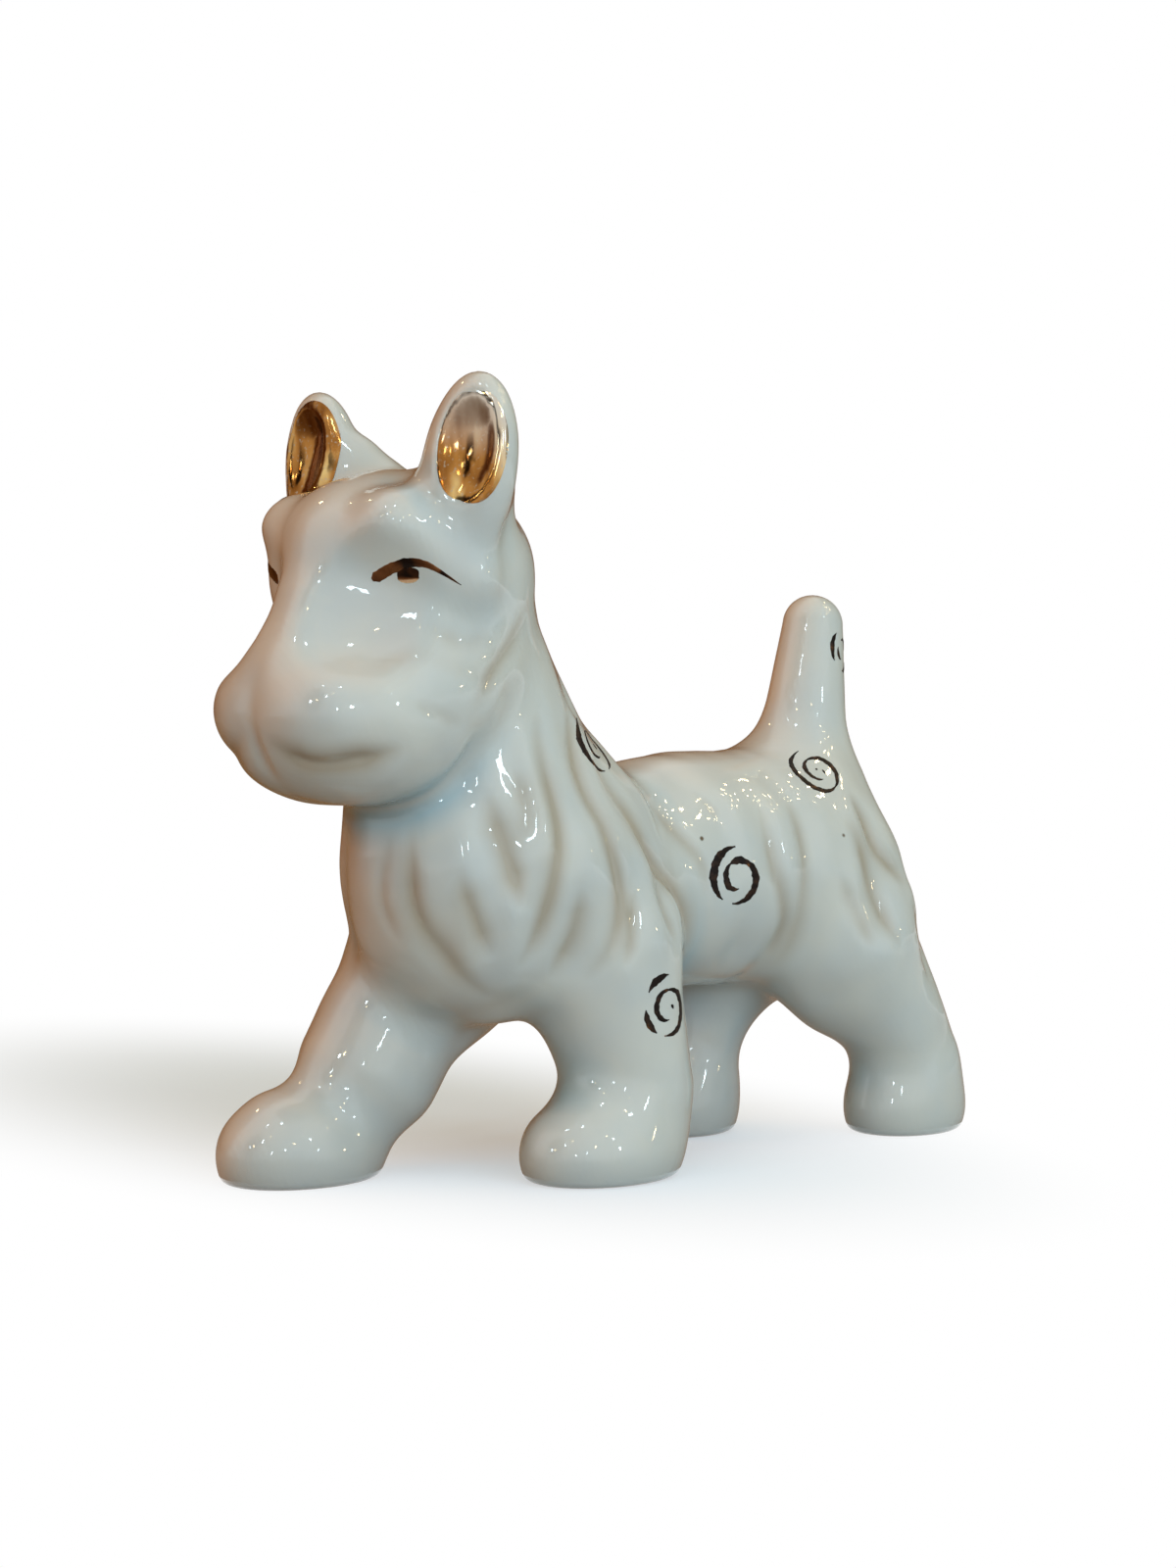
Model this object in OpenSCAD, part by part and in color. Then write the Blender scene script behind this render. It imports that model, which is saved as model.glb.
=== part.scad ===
// A little terrier in glazed porcelain, about 90 mm high, striding on four short legs.
// It is slip cast in nine pieces. Trunk and head are drained hollow, legs, tail and ears
// are cast solid, and all are luted together with slip on flat seats before the glaze.
// Gold lustre, fired over the glaze, lines the ears and draws the eyes and the curls.
//
// The animal's whole skin is one field of melted forms, negative in the clay and positive
// in the air. A net is laid over the zero of that field, once for each casting, and flat
// seat planes then part the castings. +Y is the tail, +X the animal's left, z = 0 the table.

/* [Trunk] */
// Width across the chest
trunk_w = 31; // [27:0.5:36]
// Length from the breast to the rump
trunk_l = 76; // [70:0.5:84]
// Depth of the chest from withers to breastbone
trunk_h = 33; // [30:0.5:37]
// Height of the breastbone above the table
under_z = 17.5; // [15:0.5:20]
// Thickness of the neck under the jaw
neck_w = 24; // [21:0.5:27]
// Clay melted into each inner corner of the trunk
trunk_blend = 8; // [5:0.5:11]
// Wall that the slip leaves when trunk and head are drained
wall = 3; // [2:0.1:4.5]
// Bore of the vent under the belly
vent_d = 3; // [1.5:0.1:5]

/* [Head] */
// How much narrower the head is across the cheeks than the chest
cheek_in = 1; // [0:0.5:4]
// Length from the muzzle to the back of the skull
head_l = 34; // [30:0.5:38]
// Height from the chin to the crown
head_h = 37; // [33:0.5:41]
// Height of the chin above the table
chin_z = 43; // [41:0.5:46]
// How far the middle of the head stands in front of the middle of the trunk
head_reach = 33; // [30:0.5:36]
// Clay melted into the inner corners of the face
face_blend = 6; // [3:0.5:8]

/* [Ears] */
// Width of an ear
ear_w = 12; // [10:0.5:14]
// Thickness of an ear from front to back
ear_t = 8.2; // [7:0.1:9.5]
// Length of an ear
ear_h = 21; // [17:0.5:24]
// Clay melted round the foot and the rim of an ear
ear_blend = 3; // [1.5:0.5:4]

/* [Legs] */
// Thickness of a front leg
front_leg_w = 16; // [14:0.5:18]
// Thickness of a hind leg
hind_leg_w = 15; // [13:0.5:17]
// Width of a front paw
front_paw_w = 16; // [14:0.5:18]
// Length of a front paw
front_paw_l = 20.6; // [18:0.2:23]
// Height of a front paw
front_paw_h = 13; // [11:0.5:15]
// Width of a hind paw
hind_paw_w = 14; // [12:0.5:16]
// Length of a hind paw
hind_paw_l = 16.6; // [15:0.2:19]
// Height of a hind paw
hind_paw_h = 12; // [10:0.5:14]
// Clay melted into each inner corner of a leg
leg_blend = 4; // [2:0.5:6]

/* [Tail] */
// Rise of the tail from its root to its tip
tail_h = 17.6; // [14:0.2:22]
// Thickness of the tail at its root
tail_root_w = 12; // [10:0.5:14]
// Thickness of the tail at its tip
tail_tip_w = 7.6; // [6:0.2:9]
// Clay melted round the root of the tail
tail_blend = 6; // [4:0.5:8]

/* [Coat] */
// Width of a main furrow
furrow_w = 2.2; // [1.6:0.1:3]
// Depth of a main furrow
furrow_d = 0.8; // [0.4:0.05:1.2]

/* [Gold lustre] */
// Depth of the gold film, drawn thick enough to hold as a solid
gold_t = 0.4; // [0.3:0.05:0.6]
// Width of a brush stroke
stroke_w = 0.8; // [0.6:0.05:1.1]
// Outer radius of a curl
curl_r = 3.5; // [2.8:0.1:4.2]
// Distance from one turn of a curl to the next
curl_pitch = 1.7; // [1.5:0.05:2]

/* [Net] */
// Mesh of the net over the trunk
trunk_mesh = 3.7; // [3:0.05:4.4]
// Mesh of the net over the head
head_mesh = 2.7; // [2.2:0.1:3]
// Mesh of the net over a leg
leg_mesh = 2.95; // [2.5:0.05:3.4]
// Mesh of the net over an ear
ear_mesh = 1.85; // [1.6:0.05:2.2]
// Mesh of the net over the tail
tail_mesh = 2.4; // [2:0.1:2.6]
// Mesh of the net inside the hollow castings
hollow_mesh = 4.8; // [4:0.1:5.4]

/* [Hidden] */

LEFT = 1;
RIGHT = -1;
porcelain = "#e9eceb";
gold = "#a8793c";
lustre = "#5b4330";

head_w = trunk_w - cheek_in;

// The figure is centred between its muzzle and its hind heel
muzzle_share = 0.608;
heel_share = 0.618;
trunk_y = (head_reach + muzzle_share * head_l - heel_share * trunk_l) / 2;
trunk_size = [trunk_w, trunk_l, trunk_h];
trunk_foot = [0, trunk_y, under_z];
head_size = [head_w, head_l, head_h];
head_foot = [0, trunk_y - head_reach, chin_z];
stance_size = [trunk_w, trunk_l, under_z];
stance = [0, trunk_y, 0];

// Far is past every point of the figure
far = trunk_l + head_l + head_h;

function times(a, b) = [a.x * b.x, a.y * b.y, a.z * b.z];
function mirrored(p, side) = [side * p.x, p.y, p.z];
function on_trunk(share) = trunk_foot + times(share, trunk_size);
function on_head(share) = head_foot + times(share, head_size);
function on_stance(share) = stance + times(share, stance_size);

// Forms of the field

// Two forms run together, with a fillet of clay of size k in the corner between them
function melt(a, b, k) = let (h = max(k - abs(a - b), 0) / k) min(a, b) - h * h * k / 4;
// A form is pressed out of another, with the edge eased by k
function press(a, b, k) = -melt(-a, b, k);
// Distance from p to an egg at the origin with half axes r
function egg(p, r) =
    let (u = [p.x / r.x, p.y / r.y, p.z / r.z], v = [u.x / r.x, u.y / r.y, u.z / r.z])
    norm(u) * (norm(u) - 1) / max(norm(v), 1 / far);
// Distance from p to a sausage from a to b whose radius runs from ra to rb
function sausage(p, a, b, ra, rb) =
    let (q = p - a, ab = b - a, t = min(max(q * ab / (ab * ab), 0), 1))
    norm(q - ab * t) - ra - (rb - ra) * t;
// Rows of a matrix that turns a point into the axes of a form rolled about Y, then swung about Z
function axes(roll, swing) = [
    [cos(roll) * cos(swing), cos(roll) * sin(swing), -sin(roll)],
    [-sin(swing), cos(swing), 0],
    [sin(roll) * cos(swing), sin(roll) * sin(swing), cos(roll)]
];
// Folds both sides of the face onto the left one, with no crease down the middle
fold_share = 0.167;
function fold(p) = [norm([p.x, fold_share * face_blend]), p.y, p.z];
// Melts a list of eggs, each as [middle, half axes, blend], into the distance d
function melt_eggs(p, eggs, d, i = 0) =
    i == len(eggs) ? d
    : melt_eggs(p, eggs, melt(d, egg(p - eggs[i][0], eggs[i][1]), eggs[i][2]), i + 1);

// Trunk and neck

// Middle, half axes and blend of the barrel, chest and rump
barrel_shares = [
    [[0, 0.13, 0.495], [0.435, 0.355, 0.435], 1],
    [[0, -0.295, 0.5], [0.5, 0.208, 0.5], 1],
    [[0, 0.34, 0.5], [0.405, 0.15, 0.405], 1]
];
// Middle, half axes and blend of the two haunches and two shoulders
limb_shares = [
    [[0.21, 0.37, 0.26], [0.24, 0.13, 0.395], 0.6],
    [[-0.195, 0.3, 0.32], [0.24, 0.125, 0.395], 0.6],
    [[0.26, -0.16, 0.35], [0.24, 0.12, 0.455], 0.6],
    [[-0.26, -0.26, 0.35], [0.24, 0.12, 0.455], 0.6]
];
barrel_eggs = [
    for (s = barrel_shares) [on_trunk(s[0]), times(s[1], trunk_size), s[2] * trunk_blend]
];
limb_eggs = [
    for (s = limb_shares) [on_trunk(s[0]), times(s[1], trunk_size), s[2] * trunk_blend]
];
neck_root_share = [0, -0.275, 0.68];
neck_top_share = [0, 0.12, 0.46];
neck_root_w_share = 1.17;
function neck(p) =
    sausage(p, on_trunk(neck_root_share), on_head(neck_top_share), neck_root_w_share * neck_w / 2,
        neck_w / 2);
function barrel(p) = melt(melt_eggs(p, barrel_eggs, far), neck(p), trunk_blend);
function trunk(p) = melt(melt_eggs(p, limb_eggs, melt_eggs(p, barrel_eggs, far)), neck(p), trunk_blend);

// Head

// Middle, half axes and blend of the skull, jaw and chin
skull_shares = [
    [[0, 0.035, 0.69], [0.495, 0.37, 0.31], 1],
    [[0, -0.015, 0.405], [0.495, 0.36, 0.297], 1],
    [[0, -0.235, 0.176], [0.4, 0.31, 0.184], 0.5]
];
skull_eggs = [
    for (s = skull_shares) [on_head(s[0]), times(s[1], head_size), s[2] * face_blend]
];
// Middle, half axes and blend of a lobe of the muzzle
lobe_shares = [[0.167, -0.265, 0.281], [0.347, 0.338, 0.219], 0.583];
// Ends, radii and blend of the bridge of the nose, the brow and the outer end of the brow
ridge_shares = [
    [[0, -0.228, 0.77], [0, -0.34, 0.459], 0.187, 0.2, 0.5],
    [[0.1, -0.275, 0.789], [0.317, -0.234, 0.822], 0.113, 0.113, 0.5],
    [[0.317, -0.234, 0.822], [0.473, -0.044, 0.676], 0.1, 0.067, 0.67]
];
// Middle, half axes and blend of the hollow that an eye lies in
socket_shares = [[0.397, -0.431, 0.611], [0.26, 0.206, 0.186], 0.333];
socket_swing = 30;
// Ends, radius and blend of the groove under the nose
groove_shares = [[0, -0.666, 0.365], [0, -0.557, 0.081], 0.047, 0.25];

function ridge(p, s) = sausage(p, on_head(s[0]), on_head(s[1]), s[2] * head_w, s[3] * head_w);
function skull(p) =
    let (
        q = fold(p),
        lobe = egg(q - on_head(lobe_shares[0]), times(lobe_shares[1], head_size)),
        d0 = melt(melt_eggs(p, skull_eggs, far), lobe, lobe_shares[2] * face_blend),
        groove = ridge(p, [groove_shares[0], groove_shares[1], groove_shares[2], groove_shares[2]]),
        d1 = press(d0, groove, groove_shares[3] * face_blend),
        d2 = melt(d1, ridge(q, ridge_shares[0]), ridge_shares[0][4] * face_blend),
        d3 = melt(d2, ridge(q, ridge_shares[1]), ridge_shares[1][4] * face_blend),
        d4 = melt(d3, ridge(q, ridge_shares[2]), ridge_shares[2][4] * face_blend),
        eye = axes(0, socket_swing) * (q - on_head(socket_shares[0]))
    )
    press(d4, egg(eye, times(socket_shares[1], head_size)), socket_shares[2] * face_blend);

// Ears

ear_size = [ear_w, ear_t, ear_h];
ear_share = [0.453, -0.044, 0.986];
ear_middle = on_head(ear_share);
ear_roll = 12;
ear_swing = 8;
// Foot of an ear, which leans the other way
ear_foot_shares = [[-0.417, 0.36, -0.138], [0.583, 0.585, 0.267]];
ear_foot_roll = -30;
// Scoop pressed into the front of an ear
scoop_shares = [[0.117, -0.573, 0.11], [0.417, 0.476, 0.333]];
scoop_swing = 12;
scoop_blend_share = 0.4;
scoop_middle = ear_middle + times(scoop_shares[0], ear_size);
scoop_half = times(scoop_shares[1], ear_size);
function ear(p) =
    let (
        q = fold(p),
        leaf = egg(axes(ear_roll, ear_swing) * (q - ear_middle), ear_size / 2),
        foot_middle = ear_middle + times(ear_foot_shares[0], ear_size),
        foot = egg(axes(ear_foot_roll, 0) * (q - foot_middle), times(ear_foot_shares[1], ear_size)),
        scoop = egg(axes(ear_roll, scoop_swing) * (q - scoop_middle), scoop_half)
    )
    press(melt(leaf, foot, ear_blend), scoop, scoop_blend_share * ear_blend);

// Legs

front_paw = [front_paw_w, front_paw_l, front_paw_h] / 2;
hind_paw = [hind_paw_w, hind_paw_l, hind_paw_h] / 2;
// Hip, ankle and paw of each leg, with the share of its thickness at hip and ankle
leg_shares = [
    ["front_left", [0.274, -0.145, 1.486], [0.316, -0.113, 0.571], [0.332, -0.171, 0.229], 0.52, 0.47],
    ["front_right", [-0.274, -0.323, 1.371], [-0.323, -0.409, 0.686], [-0.348, -0.526, 0.246], 0.53, 0.519],
    ["hind_left", [0.274, 0.389, 1.371], [0.29, 0.507, 0.543], [0.29, 0.502, 0.229], 0.52, 0.42],
    ["hind_right", [-0.258, 0.283, 1.486], [-0.271, 0.224, 0.514], [-0.271, 0.204, 0.229], 0.52, 0.4]
];
// Each leg as [name, hip, ankle, paw, half thickness at hip, at ankle, half axes of the paw]
legs = [
    for (s = leg_shares)
        let (front = s[1].y < 0, w = front ? front_leg_w : hind_leg_w)
        [s[0], on_stance(s[1]), on_stance(s[2]), on_stance(s[3]), s[4] * w, s[5] * w,
            front ? front_paw : hind_paw]
];
function leg(p, l) =
    melt(sausage(p, l[1], l[2], l[4], l[5]), egg(p - l[3], l[6]), leg_blend);
function nearest_leg(p) = min([for (l = legs) leg(p, l)]);

// Tail

tail_root_share = [0, 0.375, 0.865];
tail_lean_share = 0.12;
tail_root = on_trunk(tail_root_share);
tail_tip = tail_root + [0, tail_lean_share * tail_h, tail_h];
function tail_form(p) = sausage(p, tail_root, tail_tip, tail_root_w / 2, tail_tip_w / 2);

// The whole skin. A form is left out where it is too far off to touch the skin.

hip_share = 0.65;
hip_z = under_z + hip_share * trunk_h;
jaw_blend_share = 0.333;
function clay(p) =
    let (
        a = trunk(p),
        b = p.z < chin_z - face_blend ? a
            : melt(a, melt(skull(p), p.z < chin_z + head_h / 2 ? far : ear(p), ear_blend),
                jaw_blend_share * face_blend),
        c = p.y < trunk_y || p.z < hip_z ? b : melt(b, tail_form(p), tail_blend)
    )
    p.z > hip_z ? c : melt(c, nearest_leg(p), leg_blend);
// The drained space inside trunk and head
function drained(p) =
    wall + (p.z < chin_z - face_blend ? barrel(p) : melt(barrel(p), skull(p), face_blend));

// The net

// Lays a net over the zero of field f between the corners low and high. Each cell that the
// skin crosses gets one knot, at the mean of the places where its edges pierce the skin, moved
// onto the skin along the slope inside the cell. Each edge of the grid that the skin crosses
// gets a face between the knots of the four cells round it.
module net(low, high, mesh, f) {
    n = [for (a = [0:2]) ceil((high[a] - low[a]) / mesh)];
    raw = [for (i = [0:n.x]) [for (j = [0:n.y]) [for (k = [0:n.z])
        min(i, j, k) == 0 || i == n.x || j == n.y || k == n.z ? mesh : f(low + [i, j, k] * mesh)]]];
    v = [for (i = [0:n.x]) [for (j = [0:n.y]) [for (k = [0:n.z])
        pinched(raw, [i, j, k]) ? mesh / far : raw[i][j][k]]]];
    cells = [for (i = [0:n.x - 1]) for (j = [0:n.y - 1]) for (k = [0:n.z - 1]) [i, j, k]];
    sides = [for (c = cells) corners(v, c)];
    crossed = [for (s = sides) min(s) < 0 && max(s) >= 0];
    ids = [for (c = 0, m = 0; c < len(cells); m = m + (crossed[c] ? 1 : 0), c = c + 1) m];
    knots = [for (c = [0:len(cells) - 1]) if (crossed[c]) knot(low, cells[c], sides[c], mesh, f)];
    function id(c) = ids[(c.x * n.y + c.y) * n.z + c.z];
    faces = [
        for (c = cells) for (a = [0:2])
            let (here = at(v, c), next = at(v, c + unit(a)))
            if ((here < 0) != (next < 0))
                let (
                    u = unit((a + 1) % 3), w = unit((a + 2) % 3),
                    q = here < 0
                        ? [id(c - u - w), id(c - u), id(c), id(c - w)]
                        : [id(c - u - w), id(c - w), id(c), id(c - u)],
                    short = norm(knots[q[0]] - knots[q[2]]) < norm(knots[q[1]] - knots[q[3]])
                )
                for (t = short ? [[0, 1, 2], [0, 2, 3]] : [[1, 2, 3], [1, 3, 0]])
                    [for (m = t) q[m]]
    ];
    polyhedron(knots, faces);
}
function unit(a) = [for (b = [0:2]) b == a ? 1 : 0];
function at(v, c) = v[c.x][c.y][c.z];
// Two corners in the clay with only the diagonal of a grid face between them would pinch the
// net to a shared edge, so the one nearer to the skin is taken as air
function pinched(v, c) =
    at(v, c) < 0 && len([
        for (a = [0:2]) for (i = [-1, 1]) for (j = [-1, 1])
            let (u = i * unit((a + 1) % 3), w = j * unit((a + 2) % 3))
            if (at(v, c + u) >= 0 && at(v, c + w) >= 0 && at(v, c + u + w) < 0
                && at(v, c) >= at(v, c + u + w)) a
    ]) > 0;
function corners(v, c) = [for (d = cell_corners) at(v, c + d)];
// Corners of a cell, and its twelve edges as pairs of corners
cell_corners = [for (i = [0, 1]) for (j = [0, 1]) for (k = [0, 1]) [i, j, k]];
cell_edges = [
    for (a = [0:6]) for (b = [a + 1:7]) if (norm(cell_corners[a] - cell_corners[b]) == 1) [a, b]
];
function knot(low, c, s, mesh, f) =
    let (
        g = [
            s[4] + s[5] + s[6] + s[7] - s[0] - s[1] - s[2] - s[3],
            s[2] + s[3] + s[6] + s[7] - s[0] - s[1] - s[4] - s[5],
            s[1] + s[3] + s[5] + s[7] - s[0] - s[2] - s[4] - s[6]
        ] / (4 * mesh),
        marks = [
            for (e = cell_edges) if ((s[e[0]] < 0) != (s[e[1]] < 0))
                let (a = cell_corners[e[0]], b = cell_corners[e[1]])
                a + (b - a) * s[e[0]] / (s[e[0]] - s[e[1]])
        ],
        mean = [for (m = marks) 1] * marks / len(marks),
        first = low + (c + mean) * mesh
    )
    held(first - g * f(first) / max(g * g, 1 / far), low + (c + [0.5, 0.5, 0.5]) * mesh, mesh);
// Keeps a knot inside its own cell
hold_share = 0.48;
function held(p, middle, mesh) = [
    for (a = [0:2]) min(max(p[a], middle[a] - hold_share * mesh), middle[a] + hold_share * mesh)
];

// Seats where the castings meet

// The legs seat on two planes that fall towards the middle of the belly like a keel
keel_share = 0.915;
keel_slope = 0.48;
keel_z = keel_share * under_z;
// The split between front and hind legs
stride_share = 0.06;
// The head seats on a plane that rises from throat to nape
throat_share = [0, -0.15, 0.01];
neck_slope = 0.6;
// The tail seats on a level plane
tail_seat_share = 0.28;
tail_seat_z = tail_root.z + tail_seat_share * tail_h;
// The ears seat on planes that fall outwards, and cut each ear a little below its middle
ear_seat_share = 0.154;
ear_seat_slope = 0.9;
ear_seat_z = ear_middle.z + ear_seat_slope * ear_middle.x - ear_seat_share * ear_h;

// Space under the keel on both sides
module leg_room() rotate([90, 0, 0]) linear_extrude(2 * far, center = true)
    polygon([[-far, -far], [far, -far], [far, keel_z + keel_slope * far], [0, keel_z],
        [-far, keel_z + keel_slope * far]]);
// Space of one leg, with its side and its end of the belly
module one_leg_room(side, end) intersection() {
    leg_room();
    translate([side * far, trunk_y + stride_share * trunk_l + end * far, far])
        cube(2 * far, center = true);
}
// Space above the neck seat
module head_room() {
    throat = on_head(throat_share);
    translate([-far, 0, 0]) rotate([90, 0, 90]) linear_extrude(2 * far)
        polygon([[throat.y - far, throat.z - neck_slope * far],
            [throat.y + far, throat.z + neck_slope * far], [-far, 2 * far]]);
}
// Space above the tail seat
module tail_room() translate([-far, tail_root.y - tail_root_w, tail_seat_z]) cube(2 * far);
// Space above both ear seats
module ear_room() rotate([90, 0, 0]) linear_extrude(2 * far, center = true)
    polygon([[-far, ear_seat_z - ear_seat_slope * far], [0, ear_seat_z],
        [far, ear_seat_z - ear_seat_slope * far], [0, 2 * far]]);

// Nets of the castings, each a little past its seats, between a low and a high corner

trunk_net_shares = [[-0.6, -0.54, -0.12], [0.6, 0.54, 1.3]];
head_net_shares = [[-0.65, -0.68, -0.08], [0.65, 0.72, 1.12]];
trunk_hollow_shares = [[-0.5, -0.5, 0], [0.5, 0.5, 1.4]];
head_hollow_shares = [[-0.5, -0.6, -0.3], [0.5, 0.7, 1]];
ear_net_share = [0.9, 1.2, 0.65];
leg_net_share = 0.36;
module trunk_net() net(on_trunk(trunk_net_shares[0]), on_trunk(trunk_net_shares[1]), trunk_mesh,
    function (p) clay(p));
module head_net() net(on_head(head_net_shares[0]), on_head(head_net_shares[1]), head_mesh,
    function (p) clay(p));
module trunk_hollow() net(on_trunk(trunk_hollow_shares[0]), on_trunk(trunk_hollow_shares[1]),
    hollow_mesh, function (p) drained(p));
module head_hollow() net(on_head(head_hollow_shares[0]), on_head(head_hollow_shares[1]),
    hollow_mesh, function (p) drained(p));
module leg_net(l) {
    hip = l[4] + leg_blend;
    paw = l[6].y + leg_blend;
    net([min(l[1].x, l[3].x) - hip, min(l[3].y - paw, l[1].y - hip), -2 * leg_mesh],
        [max(l[1].x, l[3].x) + hip, max(l[3].y + paw, l[1].y + hip),
            keel_z + leg_net_share * trunk_w],
        leg_mesh, function (p) clay(p));
}
module ear_net(side) {
    reach = times(ear_net_share, ear_size);
    middle = mirrored(ear_middle, side);
    net(middle - reach, middle + reach, ear_mesh, function (p) clay(p));
}
module tail_net() net(
    [-tail_root_w, tail_root.y - tail_root_w, tail_seat_z - 2 * tail_mesh],
    tail_tip + [tail_root_w, tail_root_w, tail_tip_w], tail_mesh, function (p) clay(p));

// Coat and gold lustre

// Moves a point onto the skin along the slope of the field
feel = gold_t / 8;
function slope(p) =
    let (d = clay(p))
    [for (a = [0:2]) (clay(p + unit(a) * feel) - d) / feel];
function settle(p, n = 3) =
    n == 0 ? p : let (g = slope(p)) settle(p - g * clay(p) / (g * g), n - 1);
function unit_vector(v) = v / norm(v);

// A stroke along points of the skin. Its profile gives points as shares of the width and of
// the depth, with up positive. The ends are drawn thin, and by end_depth_share less deep.
end_share = 0.3;
module stroke(path, w, depth, profile, end_depth_share = 1) {
    n = len(profile);
    last = len(path) - 1;
    rings = [
        for (i = [0:last])
            let (
                up = unit_vector(slope(path[i])),
                along = unit_vector(path[min(i + 1, last)] - path[max(i - 1, 0)]),
                across = unit_vector(cross(up, along)),
                end = i == 0 || i == last
            )
            for (q = profile)
                path[i] + across * q.x * w * (end ? end_share : 1)
                    + up * q.y * depth * (end && q.y < 0 ? end_depth_share : 1)
    ];
    faces = [
        [for (k = [0:n - 1]) k],
        for (i = [0:last - 1]) for (k = [0:n - 1])
            let (a = n * i + k, b = n * i + (k + 1) % n)
            each [[a, a + n, b], [b, a + n, b + n]],
        [for (k = [n - 1:-1:0]) n * last + k]
    ];
    polyhedron(rings, faces);
}

// Main furrows, drawn into the soft clay between the locks of the coat, as points on the left
// side. Those on the right lie a little farther forward, as they were drawn by hand.
furrow_shares = [
    [[0.42, -0.324, 0.955], [0.5, -0.314, 0.712], [0.516, -0.32, 0.56], [0.468, -0.34, 0.318]],
    [[0.435, -0.255, 0.894], [0.5, -0.228, 0.682], [0.516, -0.215, 0.3]],
    [[0.45, -0.17, 0.742], [0.475, -0.12, 0.58], [0.41, -0.035, 0.394]],
    [[0.403, -0.406, 0.773], [0.484, -0.38, 0.5]],
    [[0.355, -0.452, 0.576], [0.371, -0.393, 0.258]],
    [[0.21, -0.485, 0.682], [0.21, -0.485, 0.439], [0.258, -0.426, 0.242]],
    [[0.323, 0.14, 0.773], [0.435, 0.147, 0.53], [0.387, 0.185, 0.288]],
    [[0.323, 0.206, 0.773], [0.435, 0.212, 0.561], [0.355, 0.219, 0.242]],
    [[0.403, 0.357, 0.682], [0.452, 0.39, 0.53], [0.403, 0.456, 0.409]],
    [[0.435, 0.324, 0.621], [0.516, 0.36, 0.333]]
];
furrow_profile = [[0, -1], [0.5, 0.1], [0.5, 3], [-0.5, 3], [-0.5, 0.1]];
right_forward_share = 0.02;
furrow_end_share = 0.3;
module furrow(shares, side) stroke([
    for (s = shares)
        let (forward = side == LEFT ? 0 : right_forward_share * trunk_l)
        settle(mirrored(on_trunk(s), side) - [0, forward, 0])
], furrow_w, furrow_d, furrow_profile, furrow_end_share);

// Lustre lies in the clay by a point and stands a little proud of it
lustre_profile = [[0, -1], [0.5, 0.6], [-0.5, 0.6]];
// Each curl as [name, middle on the left side, share of the full radius, share of the trunk by
// which it lies farther forward on the right side]. A curl runs inwards from its top.
curl_turns = 1.55;
curl_steps = 15;
tail_curl_share = [0.3, 0.3, 0.8];
curls = [
    ["neck", on_trunk([0.345, -0.192, 0.961]), 1, 0],
    ["flank", on_trunk([0.43, 0.067, 0.494]), 1, 0],
    ["leg", on_stance([0.548, -0.121, 1.128]), 1, 0.22],
    ["rump", on_trunk([0.285, 0.302, 0.85]), 1, 0],
    ["tail", tail_root + times(tail_curl_share, [tail_root_w, tail_root_w, tail_h]), 0.7, 0]
];
module curl(name, side) {
    c = [for (c = curls) if (c[0] == name) c][0];
    forward = side == LEFT ? 0 : c[3] * trunk_l;
    middle = settle(mirrored(c[1], side) - [0, forward, 0]);
    up = unit_vector(slope(middle));
    u = unit_vector(cross(up, [0, 0, side]));
    w = cross(up, u) * side;
    path = [
        for (i = [0:curl_steps])
            let (
                t = i / curl_steps, turn = 360 * curl_turns * t - 90,
                r = c[2] * (curl_r - curl_pitch * curl_turns * t)
            )
            settle(middle + r * (cos(turn) * u + sin(turn) * w))
    ];
    stroke(path, stroke_w, gold_t, lustre_profile);
}

// Points of the lash line of an eye, from the bridge outwards, and ends of the pupil
lash_shares = [
    [0.237, -0.278, 0.668], [0.27, -0.266, 0.686], [0.32, -0.254, 0.705], [0.38, -0.243, 0.714],
    [0.43, -0.219, 0.711], [0.467, -0.181, 0.692], [0.51, -0.116, 0.649]
];
pupil_shares = [[0.383, -0.237, 0.708], [0.367, -0.228, 0.69], [0.357, -0.216, 0.654]];
pupil_w_share = 2.6;
module eye(side) {
    lash = [for (s = lash_shares) settle(mirrored(on_head(s), side))];
    pupil = [for (s = pupil_shares) settle(mirrored(on_head(s), side))];
    stroke(lash, stroke_w, gold_t, lustre_profile);
    stroke(pupil, pupil_w_share * stroke_w, gold_t, lustre_profile);
}

// Lining pressed against the scoop of an ear
module scoop_lining(side) scale([side, 1, 1])
    translate(scoop_middle) rotate([0, 0, scoop_swing]) rotate([0, ear_roll, 0])
        scale((scoop_half + [gold_t, gold_t, gold_t]) / far) sphere(far, $fn = 40);

// Castings

module torso() color(porcelain) resize([0, 0, 0]) difference() {
    trunk_net();
    leg_room();
    head_room();
    tail_room();
    trunk_hollow();
    translate([0, trunk_y, 0]) cylinder(h = under_z + trunk_h / 2, d = vent_d, $fn = 24);
    for (side = [LEFT, RIGHT]) {
        for (name = ["neck", "flank", "rump"]) curl(name, side);
        for (shares = furrow_shares) furrow(shares, side);
    }
}
module head() color(porcelain) resize([0, 0, 0]) difference() {
    intersection() {
        head_net();
        head_room();
    }
    ear_room();
    head_hollow();
    for (side = [LEFT, RIGHT]) eye(side);
}
module whole_ear(side) intersection() {
    ear_net(side);
    ear_room();
}
module ear_casting(side) color(porcelain) resize([0, 0, 0]) difference() {
    whole_ear(side);
    scoop_lining(side);
}
module ear_gold(side) color(gold) resize([0, 0, 0]) intersection() {
    whole_ear(side);
    scoop_lining(side);
}
module tail() color(porcelain) resize([0, 0, 0]) difference() {
    intersection() {
        tail_net();
        tail_room();
    }
    for (side = [LEFT, RIGHT]) curl("tail", side);
}
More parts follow.
